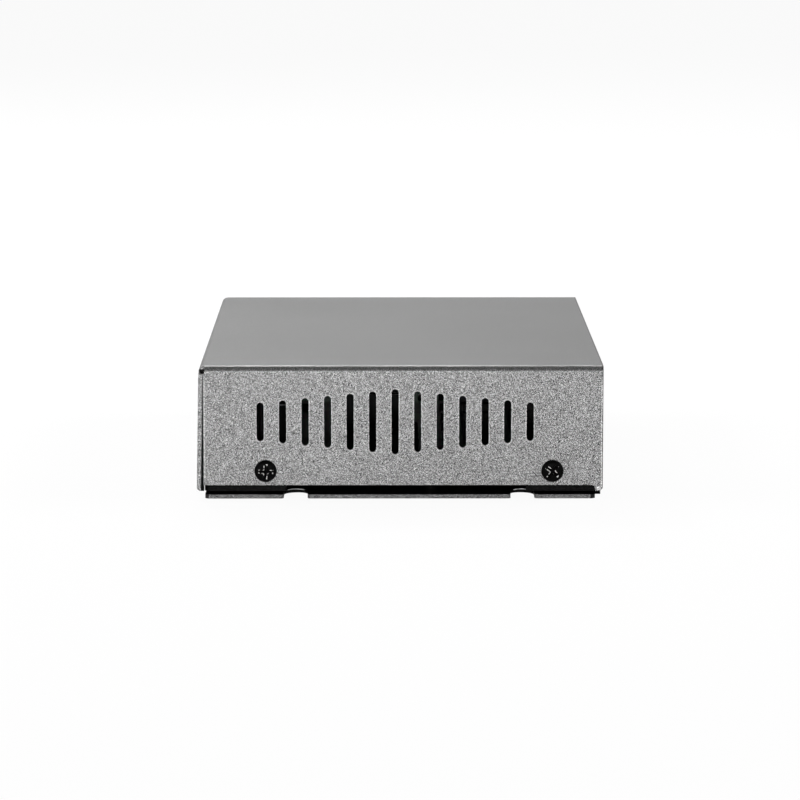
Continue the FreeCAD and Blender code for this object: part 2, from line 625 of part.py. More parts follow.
def base_tray():
    """The tray: floor, port panel, low rear wall and four screw ears, folded from one sheet."""
    body = doc.addObject("PartDesign::Body", "base_tray")
    ground = "0 * dims.sheet"

    fold = Outline(body, "YZ_Plane", "tray_fold")
    fold.path([
        (PANEL_OUT, "dims.ear_bottom"), (PANEL_OUT, ground, "dims.bend_outer"),
        (WALL_OUT, ground, "dims.bend_outer"), (WALL_OUT, "dims.ear_bottom"),
        (WALL_IN, "dims.ear_bottom"), (WALL_IN, "dims.sheet", BEND_INNER),
        (PANEL_IN, "dims.sheet", BEND_INNER), (PANEL_IN, "dims.ear_bottom")])
    pad(body, fold, f"2 * {FOLD_END}", symmetric=True)

    plan = Outline(body, "XY_Plane", "tray_floor")
    plan.path(tray_plan())
    mirror(body, pad(body, plan, "dims.sheet"), "YZ_Plane")

    notches = Outline(body, "XY_Plane", "tray_notches", "dims.sheet")
    for path in notch_paths():
        notches.path(path)
    pocket(body, notches, "dims.sheet")

    bend = f"({SIDE_IN} - dims.bend_outer)"
    edge = f"({SIDE_IN} - dims.panel_side_gap)"
    relief = "(dims.ear_top + dims.ear_relief)"
    panel_top = f"({TOP_IN} - dims.panel_top_gap)"
    panel = Outline(body, "XZ_Plane", "tray_port_panel", f"-{PANEL_OUT}")
    panel.path([
        (bend, "dims.ear_bottom"), (bend, relief), (edge, relief), (edge, panel_top),
        (f"-{edge}", panel_top), (f"-{edge}", relief), (f"-{bend}", relief),
        (f"-{bend}", "dims.ear_bottom")])
    pad(body, panel, "dims.sheet", backwards=True)

    wall = Outline(body, "XZ_Plane", "tray_rear_wall", f"-{WALL_OUT}")
    wall.rectangle((f"-{bend}", bend), ("dims.ear_bottom", "dims.ear_top"))
    pad(body, wall, "dims.sheet")

    for side, word in ((1, "right"), (-1, "left")):
        front = ear_outline(body, f"tray_front_ear_{word}", side, PANEL_OUT, PANEL_IN,
                            "dims.ear_front", 1)
        pad(body, front, "dims.ear_top - dims.ear_bottom")
        rear = ear_outline(body, f"tray_rear_ear_{word}", side, WALL_OUT, WALL_IN,
                           "dims.ear_rear", -1)
        pad(body, rear, "dims.ear_top - dims.ear_bottom")

    threads = Outline(body, "YZ_Plane", "tray_screw_holes")
    for along in (SCREW_FRONT, SCREW_REAR):
        threads.circle(along, "dims.screw_height", "dims.screw_radius + dims.thread_clearance")
    pocket(body, threads, "dims.case_width", symmetric=True)

    seats = Outline(body, "XY_Plane", "tray_standoff_holes", "dims.sheet")
    for x, y in standoff_places():
        seats.circle(x, y, "dims.spigot_radius")
    pocket(body, seats, "dims.sheet")

    openings = Outline(body, "XZ_Plane", "tray_panel_openings", f"-{PANEL_OUT}")
    for middle, width, height in panel_openings():
        span = around(middle, f"({width} + 2 * dims.panel_hole_gap)")
        openings.rectangle(span, (f"{BOARD_TOP} - dims.panel_hole_gap",
                                  f"{BOARD_TOP} + {height} + dims.panel_hole_gap"))
    for x, z in led_places():
        openings.circle(x, z, "dims.led_radius + dims.led_hole_gap")
    pocket(body, openings, "dims.sheet")
    return body


def standoff_places():
    """Where the board is held."""
    return [(f"{side} * {STANDOFF_X}", y)
            for side in (-1, 1) for y in (STANDOFF_FRONT, STANDOFF_REAR)]


def port_places():
    """Middles of the ports across the panel: the powered ports, then the uplink port."""
    count = int(size("dims.powered_ports"))
    powered = [f"({PORT_X} + {number} * {PORT_PITCH})" for number in range(count)]
    return powered + [f"({powered[-1]} + dims.jack_width + {ROW_GAP})"]


def panel_openings():
    """Middle, width and height of each piece that reaches through the port panel."""
    ports = [(middle, "dims.jack_width", "dims.jack_height") for middle in port_places()]
    return ports + [(INLET_X, "dims.inlet_width", "dims.inlet_height")]


def led_places():
    """Middles of the lamps: the lower row from the left, then the upper row."""
    columns = int(size("dims.led_columns"))
    middle = (columns - 1) / 2
    return [(f"({LAMPS_X} + {column - middle} * dims.led_pitch)",
             f"({BOARD_TOP} + dims.led_low + {row} * dims.led_rise)")
            for row in (0, 1) for column in range(columns)]


# Fasteners

def cross_screw(name, radius, length, head_radius, head_height, head_round):
    """A pan-head screw with a cross recess, head up, its seat at the origin."""
    body = doc.addObject("PartDesign::Body", name)
    axis = "0 * dims.sheet"
    profile = Outline(body, "XZ_Plane", name + "_profile")
    profile.path([
        (axis, f"-{length}"), (radius, f"-{length}"), (radius, axis), (head_radius, axis),
        (head_radius, head_height, head_round), (axis, head_height)])
    revolve(body, profile)
    arm, half = "dims.recess_reach", "(dims.recess_width / 2)"
    quarter = [(half, arm), (half, half), (arm, half)]
    corners = quarter + [(x, f"-{y}") for x, y in reversed(quarter)]
    corners += [(f"-{x}", f"-{y}") for x, y in quarter]
    corners += [(f"-{x}", y) for x, y in reversed(quarter)]
    recess = Outline(body, "XY_Plane", name + "_recess", head_height)
    recess.path(corners)
    pocket(body, recess, "dims.recess_depth")
    return body


def place(item, x, y, z, turn=None):
    """Put an item at its place, turned about the origin first."""
    item.Placement = FreeCAD.Placement(FreeCAD.Vector(), turn or FreeCAD.Rotation())
    for axis, expression in zip("xyz", (x, y, z)):
        item.setExpression(f"Placement.Base.{axis}", expression)
    return item


def cover_screws():
    """Four black screws through the cover's sides into the tray's ears."""
    screws = []
    for side in (-1, 1):
        turn = FreeCAD.Rotation(FreeCAD.Vector(0, 1, 0), 90 * side)
        for row, y in (("front", SCREW_FRONT), ("rear", SCREW_REAR)):
            screw = cross_screw(f"cover_screw_{row}_{'right' if side > 0 else 'left'}",
                                "dims.screw_radius", "dims.screw_length", "dims.screw_head_radius",
                                "dims.screw_head_height", "dims.screw_head_round")
            screws.append(place(screw, f"{side} * {SIDE_OUT}", y, "dims.screw_height", turn))
    return grouped("cover_screws", screws)


def board_screws():
    """Four screws that hold the board on its standoffs."""
    screws = []
    for number, (x, y) in enumerate(standoff_places(), 1):
        screw = cross_screw(f"board_screw_{number}", "dims.screw_radius",
                            "dims.board_screw_length", "dims.board_head_radius",
                            "dims.board_head_height", "dims.screw_head_round")
        screws.append(place(screw, x, y, BOARD_TOP))
    return grouped("board_screws", screws)


def board_standoffs():
    """Four standoffs pressed into the tray, with their ends flush under it."""
    posts = []
    for number, (x, y) in enumerate(standoff_places(), 1):
        name = f"standoff_{number}"
        post = rod(name + "_post", "z", "dims.standoff_radius", (x, y),
                   ("dims.sheet", BOARD_BOTTOM))
        spigot = rod(name + "_spigot", "z", "dims.spigot_radius", (x, y),
                     ("0 * dims.sheet", "dims.sheet"))
        thread = rod(name + "_thread", "z", "dims.screw_radius + dims.thread_clearance", (x, y),
                     ("dims.sheet", BOARD_BOTTOM))
        posts.append(cut(name, joined(name + "_blank", [post, spigot]), [thread]))
    return grouped("board_standoffs", posts)


def circuit_board():
    """The board, with a hole for each of its screws."""
    body = doc.addObject("PartDesign::Body", "circuit_board")
    plan = Outline(body, "XY_Plane", "board_plan", BOARD_BOTTOM)
    plan.rectangle((f"-{BOARD_SIDE}", BOARD_SIDE), (BOARD_FRONT, BOARD_REAR))
    for x, y in standoff_places():
        plan.circle(x, y, "dims.screw_radius + dims.screw_clearance")
    pad(body, plan, "dims.board_thick")
    return body


# The ports

def jack_housing(number, middle):
    """The moulded body of a port, with its opening, latch slot and contact recess."""
    name = f"jack_housing_{number}"
    block = box(name + "_block", around(middle, "(dims.jack_width - 2 * dims.shield)"),
                (JACK_FRONT, f"{JACK_BACK} - dims.shield"),
                (BOARD_TOP, f"{BOARD_TOP} + dims.jack_height - dims.shield"))
    depth = (f"{JACK_FRONT} - dims.sheet", f"{JACK_FRONT} + dims.plug_depth")
    floor = f"({BOARD_TOP} + dims.plug_bottom)"
    roof = f"({floor} + dims.plug_height)"
    opening = box(name + "_opening", around(middle, "dims.plug_width"), depth, (floor, roof))
    latch = box(name + "_latch", around(middle, "dims.latch_width"), depth,
                (f"{floor} - dims.latch_drop", roof))
    comb = box(name + "_comb", around(middle, "dims.comb_width"),
               (f"{JACK_FRONT} + dims.contact_start - dims.contact_gap",
                f"{JACK_FRONT} + dims.plug_depth"),
               (floor, f"{roof} + dims.comb_rise"))
    return cut(name, block, [opening, latch, comb])


def jack_shield(number, middle):
    """The thin steel shell around a port's sides, top and back."""
    name = f"jack_shield_{number}"
    outer = box(name + "_outer", around(middle, "dims.jack_width"), (JACK_FRONT, JACK_BACK),
                (BOARD_TOP, f"{BOARD_TOP} + dims.jack_height"))
    inner = box(name + "_inner", around(middle, "(dims.jack_width - 2 * dims.shield)"),
                (f"{JACK_FRONT} - dims.sheet", f"{JACK_BACK} - dims.shield"),
                (f"{BOARD_TOP} - dims.sheet", f"{BOARD_TOP} + dims.jack_height - dims.shield"))
    return cut(name, outer, [inner])


def jack_contacts(number, middle):
    """The row of spring contacts in a port's recess, sloping down towards the back."""
    wires = []
    count = int(size("dims.contact_count"))
    roof = f"({BOARD_TOP} + dims.plug_bottom + dims.plug_height + dims.comb_rise)"
    for index in range(count):
        x = f"{middle} + {index - (count - 1) / 2} * dims.contact_pitch - dims.contact_thick / 2"
        wire = doc.addObject("Part::Box", f"jack_contact_{number}_{index + 1}")
        wire.setExpression("Length", "dims.contact_thick")
        wire.setExpression("Width", "dims.contact_length")
        wire.setExpression("Height", "dims.contact_thick")
        wire.Placement = FreeCAD.Placement(FreeCAD.Vector(),
                                           FreeCAD.Rotation(FreeCAD.Vector(-1, 0, 0), 1))
        wire.setExpression("Placement.Rotation.Angle", "dims.contact_tilt")
        wire.setExpression("Placement.Base.x", x)
        wire.setExpression("Placement.Base.y", f"{JACK_FRONT} + dims.contact_start")
        wire.setExpression("Placement.Base.z",
                           f"{roof} - dims.contact_gap - dims.contact_thick")
        wires.append(wire)
    return grouped(f"jack_contacts_{number}", wires)


# The lamps and the power inlet

HOLDER_FRONT = f"({PANEL_IN} + dims.holder_gap)"


def lamp_holder():
    """The block that carries the lamps behind the panel."""
    block = box("lamp_holder_block", around(LAMPS_X, "dims.holder_width"),
                (HOLDER_FRONT, f"{HOLDER_FRONT} + dims.holder_depth"),
                (BOARD_TOP, f"{BOARD_TOP} + dims.holder_height"))
    sockets = [rod(f"lamp_socket_{number}", "y", "dims.led_radius", spot,
                   (f"{HOLDER_FRONT} - dims.sheet", f"{HOLDER_FRONT} + dims.led_sink"))
               for number, spot in enumerate(led_places(), 1)]
    return cut("lamp_holder", block, sockets)


def lamps(name, places):
    """Some of the lamps: a round-nosed rod each, from the holder out through the panel."""
    back = f"({HOLDER_FRONT} + dims.led_sink)"
    length = f"({back} - {PANEL_OUT} + dims.jack_proud)"
    axis = "0 * dims.sheet"
    items = []
    for number, (x, z) in enumerate(places, 1):
        body = doc.addObject("PartDesign::Body", f"{name}_{number}")
        profile = Outline(body, "XZ_Plane", f"{name}_{number}_profile")
        profile.path([(axis, axis), ("dims.led_radius", axis),
                      ("dims.led_radius", length, "dims.led_nose"), (axis, length)])
        revolve(body, profile)
        items.append(place(body, x, back, z, FreeCAD.Rotation(FreeCAD.Vector(1, 0, 0), 90)))
    return grouped(name, items)


INLET_AXIS = (INLET_X, f"({BOARD_TOP} + dims.inlet_axis)")
INLET_FLOOR = f"({JACK_FRONT} + dims.inlet_bore_depth)"


def inlet_body():
    """The moulded body of the power inlet."""
    block = box("inlet_body_block", around(INLET_X, "dims.inlet_width"),
                (JACK_FRONT, f"{JACK_FRONT} + dims.inlet_depth"),
                (BOARD_TOP, f"{BOARD_TOP} + dims.inlet_height"))
    bore = rod("inlet_body_bore", "y", "dims.inlet_bore", INLET_AXIS,
               (f"{JACK_FRONT} - dims.sheet", INLET_FLOOR))
    return cut("inlet_body", block, [bore])


def inlet_pin():
    """The inlet's pin, standing on the floor of its opening."""
    return rod("inlet_pin", "y", "dims.inlet_pin_radius", INLET_AXIS,
               (f"{INLET_FLOOR} - dims.inlet_pin_length", INLET_FLOOR))


# Parts on the board

def on_board(name, x, y, width, depth, height, lift="0 * dims.sheet"):
    """A block on the board, by its middle and its size."""
    return box(name, around(x, width), around(y, depth),
               (f"{BOARD_TOP} + {lift}", f"{BOARD_TOP} + {lift} + {height}"))


def line_transformer(number, middle):
    """The line transformer behind a port."""
    y = f"({JACK_BACK} + dims.transformer_gap + dims.transformer_depth / 2)"
    return on_board(f"line_transformer_{number}", middle, y, "dims.transformer_width",
                    "dims.transformer_depth", "dims.transformer_height")


def switch_chip():
    """The switching chip."""
    return on_board("switch_chip", "dims.chip_x", "dims.chip_y", "dims.chip_side",
                    "dims.chip_side", "dims.chip_height")


def heat_sink():
    """The finned sink on the switching chip."""
    low = f"{BOARD_TOP} + dims.chip_height"
    span_y = around("dims.chip_y", "dims.sink_side")
    pieces = [box("heat_sink_floor", around("dims.chip_x", "dims.sink_side"), span_y,
                  (low, f"{low} + dims.sink_base"))]
    count = int(size("dims.fin_count"))
    for index in range(count):
        step = f"(dims.sink_side - dims.fin_thick) / {count - 1}"
        left = f"dims.chip_x - dims.sink_side / 2 + {index} * {step}"
        pieces.append(box(f"heat_sink_fin_{index + 1}", (left, f"{left} + dims.fin_thick"), span_y,
                          (low, f"{low} + dims.sink_height")))
    return joined("heat_sink", pieces)


def bulk_capacitor(number):
    """An upright can with the groove that holds its seal."""
    name = f"bulk_capacitor_{number}"
    body = doc.addObject("PartDesign::Body", name)
    axis, radius = "0 * dims.sheet", "dims.capacitor_radius"
    waist = f"({radius} - dims.capacitor_groove)"
    groove = "(2.5 * dims.capacitor_groove)"
    profile = Outline(body, "XZ_Plane", name + "_profile")
    profile.path([
        (axis, axis), (radius, axis), (radius, groove), (waist, f"2 * {groove}"),
        (radius, f"3 * {groove}"),
        (radius, "dims.capacitor_height", "dims.capacitor_groove"),
        (axis, "dims.capacitor_height")])
    revolve(body, profile)
    x = f"dims.capacitor_x - {BOARD_SIDE} + {number - 1} * dims.capacitor_pitch"
    return place(body, x, f"{BOARD_REAR} - dims.capacitor_y", BOARD_TOP)


def power_inductor(number):
    """A moulded inductor with rounded corners."""
    name = f"power_inductor_{number}"
    body = doc.addObject("PartDesign::Body", name)
    half = "dims.coil_side / 2"
    plan = Outline(body, "XY_Plane", name + "_plan")
    plan.path([(f"{x}{half}", f"{y}{half}", "dims.coil_round")
               for x, y in (("-", "-"), ("", "-"), ("", ""), ("-", ""))])
    pad(body, plan, "dims.coil_height")
    x = f"dims.coil_x - {BOARD_SIDE} + {number - 1} * dims.coil_pitch"
    y = f"{STANDOFF_FRONT} + dims.standoff_radius + dims.standoff_clear + dims.coil_side / 2"
    return place(body, x, y, BOARD_TOP)


def crystal():
    """The crystal's oval can, beside the switching chip."""
    body = doc.addObject("PartDesign::Body", "crystal")
    plan = Outline(body, "XY_Plane", "crystal_plan")
    plan.slot("0 * dims.sheet", "0 * dims.sheet", "dims.crystal_width", "dims.crystal_length")
    pad(body, plan, "dims.crystal_height")
    return place(body, "dims.chip_x + 1.5 * dims.chip_side", "dims.chip_y", BOARD_TOP)


def small_parts(name, kind, first_row):
    """Two rows of small parts of one kind along the board."""
    count = int(size("dims.passive_count"))
    return grouped(name, [
        on_board(f"{kind}_{row + 1}_{index + 1}",
                 f"(dims.passive_x + {index} * dims.passive_pitch)",
                 f"({BOARD_REAR} - dims.passive_y - {first_row + row} * dims.passive_row)",
                 f"dims.{kind}_length", f"dims.{kind}_width", f"dims.{kind}_height")
        for row in (0, 1) for index in range(count)])


def board_chip(name, from_x="0 * dims.sheet", from_y="0 * dims.sheet"):
    """A flat part with its own place and size on the sheet, under its own name."""
    return on_board(name, f"({from_x} + dims.{name}_x)", f"({from_y} + dims.{name}_y)",
                    f"dims.{name}_width", f"dims.{name}_length", f"dims.{name}_height")


def surge_diodes():
    """The diode behind each port's line transformer."""
    row = f"({SURGE_FRONT} + dims.surge_length / 2)"
    return grouped("surge_diodes", [
        on_board(f"surge_diode_{number}", middle, row, "dims.surge_width",
                 "dims.surge_length", "dims.surge_height")
        for number, middle in enumerate(port_places(), 1)])


def board_parts():
    """The rest of what is soldered to the board."""
    return [
        board_chip("power_controller"),
        board_chip("flash_chip"),
        board_chip("step_down_chip", f"-{BOARD_SIDE}", JACK_BACK),
        board_chip("input_fuse", f"-{BOARD_SIDE}", JACK_BACK),
        surge_diodes(),
        small_parts("ceramic_capacitors", "ceramic", 0),
        small_parts("chip_resistors", "resistor", 2)]


def build():
    """Every piece of the switch, as one document object each."""
    columns = int(size("dims.led_columns"))
    low, high = led_places()[:columns], led_places()[columns:]
    pieces = [top_cover(), base_tray(), cover_screws(), board_standoffs(), board_screws(),
              circuit_board()]
    for number, middle in enumerate(port_places(), 1):
        pieces += [jack_housing(number, middle), jack_shield(number, middle),
                   jack_contacts(number, middle), line_transformer(number, middle)]
    pieces += [lamp_holder(), lamps("link_lamps", high), lamps("power_lamps", low),
               inlet_body(), inlet_pin(), switch_chip(), heat_sink(), crystal()]
    pieces += [bulk_capacitor(number) for number in (1, 2, 3)]
    pieces += [power_inductor(number) for number in (1, 2)]
    return pieces + board_parts()


def check(pieces):
    """Stop if any feature failed, any pocket cut nothing or any piece is not a sound shape."""
    doc.recompute()
    failed = [item.Name for item in doc.Objects if {"Invalid", "Error"} & set(item.State)]
    failed += [item.Name for item in doc.Objects if item.TypeId == "PartDesign::Pocket"
               and not item.Shape.Volume < item.BaseFeature.Shape.Volume]
    unsound = [item.Label for item in pieces if item.Shape.isNull() or not item.Shape.isValid()
               or not item.Shape.Solids]
    if failed or unsound:
        sys.exit(f"failed features: {failed}; unsound pieces: {unsound}")


def write(pieces):
    """One STEP file for each piece."""
    os.makedirs("parts", exist_ok=True)
    for item in pieces:
        item.Shape.exportStep(os.path.join("parts", item.Label + ".step"))
        bounds = item.Shape.BoundBox
        print(f"{item.Label}: {len(item.Shape.Solids)} solids, {item.Shape.Volume:.1f} mm3, "
              f"x {bounds.XMin:.2f} to {bounds.XMax:.2f}, y {bounds.YMin:.2f} to {bounds.YMax:.2f}, "
              f"z {bounds.ZMin:.2f} to {bounds.ZMax:.2f}")


all_pieces = build()
check(all_pieces)
write(all_pieces)
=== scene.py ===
# %% [markdown]
# # A desktop power-over-ethernet switch
#
# The solids of the switch are already made and come in as a fixed frame. This lesson gives every
# sheet, screw and socket its finish, replaces the plainest pieces with finer ones, and sets up the
# camera and the light. Everything is in metres, +Z is up, and the sockets face -Y.

# %% Load the solids
import json
import math

import bpy
import numpy as np
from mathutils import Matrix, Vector


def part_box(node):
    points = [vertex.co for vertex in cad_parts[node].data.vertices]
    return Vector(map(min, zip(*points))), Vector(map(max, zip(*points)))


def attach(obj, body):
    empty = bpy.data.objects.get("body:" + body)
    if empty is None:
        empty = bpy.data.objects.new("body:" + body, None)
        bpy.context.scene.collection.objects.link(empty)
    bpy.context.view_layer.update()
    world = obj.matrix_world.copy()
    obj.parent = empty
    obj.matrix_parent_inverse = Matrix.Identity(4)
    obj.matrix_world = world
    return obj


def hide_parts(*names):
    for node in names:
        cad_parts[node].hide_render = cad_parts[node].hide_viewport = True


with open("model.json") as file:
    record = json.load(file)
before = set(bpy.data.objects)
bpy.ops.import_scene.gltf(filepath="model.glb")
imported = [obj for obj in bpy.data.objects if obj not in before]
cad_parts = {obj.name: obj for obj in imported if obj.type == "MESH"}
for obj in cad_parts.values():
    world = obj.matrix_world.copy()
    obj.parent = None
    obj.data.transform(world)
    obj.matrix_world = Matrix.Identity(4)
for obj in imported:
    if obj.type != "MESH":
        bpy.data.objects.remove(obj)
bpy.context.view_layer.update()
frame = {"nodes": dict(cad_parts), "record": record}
nodes = frame["nodes"]
MM = 0.001

# %% [markdown]
# ## The edges that everything else keeps to
#
# Paint, beads and screws all sit on the two folded sheets, so a few edges of those sheets are read
# from the solids first, in millimetres. Values that come from the solids can't drift away from
# them, as copied numbers would.

# %% Measure the sheets
cover_low, cover_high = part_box("top_cover")
tray_low, tray_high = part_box("base_tray")
SIDE_X, TOP_Z = cover_high.x / MM, cover_high.z / MM
FRONT_Y, REAR_Y = cover_low.y / MM, cover_high.y / MM
TRAY_FRONT, TRAY_REAR = tray_low.y / MM, tray_high.y / MM


def mesh_points(name):
    """The points of a node's mesh as rows of x, y, z in millimetres."""
    mesh = nodes[name].data
    spots = np.empty(len(mesh.vertices) * 3)
    mesh.vertices.foreach_get("co", spots)
    return spots.reshape(-1, 3) / MM


print(f"sides at {SIDE_X:.2f}, front {FRONT_Y:.2f}, rear {REAR_Y:.2f}, top {TOP_Z:.2f} mm")

# %% [markdown]
# ## The camera
#
# The view is nearly square on the long left side, from a little above, through a long lens. A
# camera is best placed by the point that it looks at, the way it looks and its distance, because
# each of these can be judged by itself. The focal length in pixels was worked out from how fast
# the top's edges close in towards the back.

# %% Place the camera
PICTURE = 800
FOCAL_PIXELS = 3658.0
SENSOR = 36.0
AIM = Vector((0.0, -0.00034, 0.01425))
DISTANCE = 0.984
AZIMUTH = math.radians(-0.23)
ELEVATION = math.radians(8.74)
CLIP_NEAR, CLIP_FAR = 0.05, 20.0


def add_camera():
    """A camera that looks along +X, turned by AZIMUTH about Z and tipped down by ELEVATION."""
    forward = Vector((math.cos(ELEVATION) * math.cos(AZIMUTH),
                      math.cos(ELEVATION) * math.sin(AZIMUTH), -math.sin(ELEVATION)))
    camera = bpy.data.objects.new("camera", bpy.data.cameras.new("camera"))
    bpy.context.scene.collection.objects.link(camera)
    camera.data.sensor_width = SENSOR
    camera.data.lens = SENSOR * FOCAL_PIXELS / PICTURE
    camera.data.clip_start, camera.data.clip_end = CLIP_NEAR, CLIP_FAR
    camera.location = AIM - forward * DISTANCE
    camera.rotation_euler = forward.to_track_quat("-Z", "Y").to_euler()
    bpy.context.scene.camera = camera
    return camera


camera = add_camera()
bpy.context.scene.view_settings.view_transform = "Standard"
print(f"camera at {tuple(round(c, 4) for c in camera.location)}, {camera.data.lens:.1f} mm")

# %% [markdown]
# ## Building node trees
#
# Node trees are easier to read when each node is one line. `add` makes a node, sets its plain
# values and joins the sockets that are passed to it, so the shape of a material can be read from
# top to bottom.

# %% Helpers for nodes
def add(tree, kind, inputs=None, **settings):
    """A node. `inputs` maps an input's name or number to a value or to a socket to join to it."""
    node = tree.nodes.new("ShaderNode" + kind)
    for name, value in settings.items():
        setattr(node, name, value)
    for name, value in (inputs or {}).items():
        if isinstance(value, bpy.types.NodeSocket):
            tree.links.new(value, node.inputs[name])
        else:
            node.inputs[name].default_value = value
    return node


def maths(tree, operation, first, second=0.0):
    """The output of one Math node."""
    return add(tree, "Math", {0: first, 1: second}, operation=operation).outputs[0]


def ramp(tree, value, start, end, first=0.0, last=1.0, **settings):
    """`first` where `value` is `start` or less, `last` where it is `end` or more."""
    inputs = {"Value": value, "From Min": start, "From Max": end, "To Min": first, "To Max": last}
    return add(tree, "MapRange", inputs, **settings).outputs[0]


def blend(tree, factor, first, second):
    """The colour `first` where `factor` is 0, and the colour `second` where it is 1."""
    return add(tree, "Mix", {"Factor": factor, 6: first, 7: second}, data_type="RGBA").outputs[2]


# %% [markdown]
# ## The studio
#
# The switch stands in a white studio. What the camera sees is plain white. What shiny metal sees
# is white near the horizon and greyer overhead, and a dark cloth hangs over the switch along X.
# That cloth is why the rounded fold between the side and the top reads as a dark line. The floor
# is white too, and it lets a little of the object's shadow through.

# %% Set up the world and the floor
WORLD_LIGHT = 0.42
CEILING, SKY = 0.22, 0.62
CLOTH_EDGE = (0.25, 0.55)
HORIZON = (0.10, 0.60)
FLOOR_SHADE, FLOOR_GREY = 0.06, 0.80
FLOOR_HALF, FLOOR_DROP = 6.0, 0.0001


def seen_rays(tree):
    """Two masks: camera, shiny and glass rays together, and the camera's rays alone."""
    path = add(tree, "LightPath").outputs
    shiny = maths(tree, "MAXIMUM", path["Is Glossy Ray"], path["Is Transmission Ray"])
    return maths(tree, "MAXIMUM", path["Is Camera Ray"], shiny), path["Is Camera Ray"]


def make_world():
    """White to the camera; to other rays white at the horizon, falling off overhead.

    Overhead it falls to CEILING under a dark cloth that is stretched along X, and to SKY beside it.
    """
    world = bpy.data.worlds.new("studio")
    bpy.context.scene.world = world
    world.use_nodes = True
    tree = world.node_tree
    tree.nodes.clear()
    direction = add(tree, "TexCoord").outputs["Generated"]
    parts = add(tree, "SeparateXYZ", {0: direction}).outputs
    beside = maths(tree, "ABSOLUTE", parts["Y"])
    overhead = ramp(tree, beside, *CLOTH_EDGE, CEILING, SKY, interpolation_type="SMOOTHSTEP")
    fall = ramp(tree, parts["Z"], *HORIZON, 1.0, overhead, interpolation_type="SMOOTHSTEP")
    seen, camera_ray = seen_rays(tree)
    dome = maths(tree, "MAXIMUM", fall, camera_ray)
    white = add(tree, "Background", {"Color": (1, 1, 1, 1), "Strength": dome})
    grey = add(tree, "Background", {"Color": (1, 1, 1, 1),
                                    "Strength": maths(tree, "MULTIPLY", fall, WORLD_LIGHT)})
    mix = add(tree, "MixShader", {0: seen, 1: grey.outputs[0], 2: white.outputs[0]})
    out = tree.nodes.new("ShaderNodeOutputWorld")
    tree.links.new(mix.outputs[0], out.inputs[0])


def make_floor():
    """A wide white floor, a hair under the switch."""
    half, drop = FLOOR_HALF, FLOOR_DROP
    mesh = bpy.data.meshes.new("floor")
    mesh.from_pydata([(-half, -half, -drop), (half, -half, -drop), (half, half, -drop),
                      (-half, half, -drop)], [], [(0, 1, 2, 3)])
    floor = bpy.data.objects.new("floor", mesh)
    bpy.context.scene.collection.objects.link(floor)
    material = bpy.data.materials.new("floor_white")
    material.use_nodes = True
    tree = material.node_tree
    tree.nodes.clear()
    paint = add(tree, "BsdfDiffuse", {"Color": (FLOOR_GREY, FLOOR_GREY, FLOOR_GREY, 1)})
    glow = add(tree, "Emission", {"Strength": 1.0})
    share = maths(tree, "MULTIPLY", seen_rays(tree)[0], 1.0 - FLOOR_SHADE)
    mix = add(tree, "MixShader", {0: share, 1: paint.outputs[0], 2: glow.outputs[0]})
    out = tree.nodes.new("ShaderNodeOutputMaterial")
    tree.links.new(mix.outputs[0], out.inputs["Surface"])
    mesh.materials.append(material)


make_world()
make_floor()
print(f"world light {WORLD_LIGHT}, floor {2 * FLOOR_HALF:.0f} m wide")

# %% [markdown]
# ## The lamps
#
# Soft boxes are the usual lamps of a product studio, because wide lamps give soft highlights. The
# one behind the camera is low and weak, so that the long side stays an even grey. The strip high
# behind the switch draws the fine bright line where the top turns down into the side. The other
# two stand off the port side and the back.

# %% Add the lamps
CENTRE = (0.0, 0.0, 0.015)
LAMPS = {"key_lamp": ((-1.5, 0.1, 0.07), (0.6, 0.12), 2.2),
         "strip_lamp": ((1.0, 0.25, 0.90), (0.8, 0.2), 12.0),
         "port_lamp": ((0.2, -1.1, 0.75), (0.9, 0.4), 12.0),
         "back_lamp": ((0.2, 1.1, 0.75), (0.9, 0.4), 12.0)}


def add_lamp(name, place, size, power):
    """A rectangular lamp at `place` that shines at the switch."""
    lamp = bpy.data.lights.new(name, "AREA")
    lamp.shape = "RECTANGLE"
    lamp.size, lamp.size_y = size
    lamp.energy = power
    holder = bpy.data.objects.new(name, lamp)
    bpy.context.scene.collection.objects.link(holder)
    holder.location = place
    holder.rotation_euler = (Vector(CENTRE) - Vector(place)).to_track_quat("-Z", "Y").to_euler()


for name, (place, size, power) in LAMPS.items():
    add_lamp(name, place, size, power)
print(f"{len(LAMPS)} lamps, {sum(lamp[2] for lamp in LAMPS.values()):.1f} W together")

# %% [markdown]
# ## Flakes in the paint
#
# Several finishes share an effect, so each effect is a node group of its own. Powder paint with
# metal flakes sparkles because each flake lies at its own angle and catches the light its own way.
# That sparkle is painted: every cell of a Voronoi pattern gets its own grey, a painted glint, which
# costs less than modelling flakes. The painted glints are made weaker on faces that lie level,
# where the light falls on them differently.

# %% Build the flake group
FLAKE_POWER = 3.0
PEEL_SCALE = 4500.0


def start_group(name, inputs, outputs):
    """An empty node group, with float inputs and outputs, and its two end nodes."""
    tree = bpy.data.node_groups.new(name, "ShaderNodeTree")
    for title, value in inputs.items():
        socket = tree.interface.new_socket(title, in_out="INPUT", socket_type="NodeSocketFloat")
        socket.default_value = value
    for title in outputs:
        tree.interface.new_socket(title, in_out="OUTPUT", socket_type="NodeSocketFloat")
    return tree, tree.nodes.new("NodeGroupInput").outputs, tree.nodes.new("NodeGroupOutput").inputs


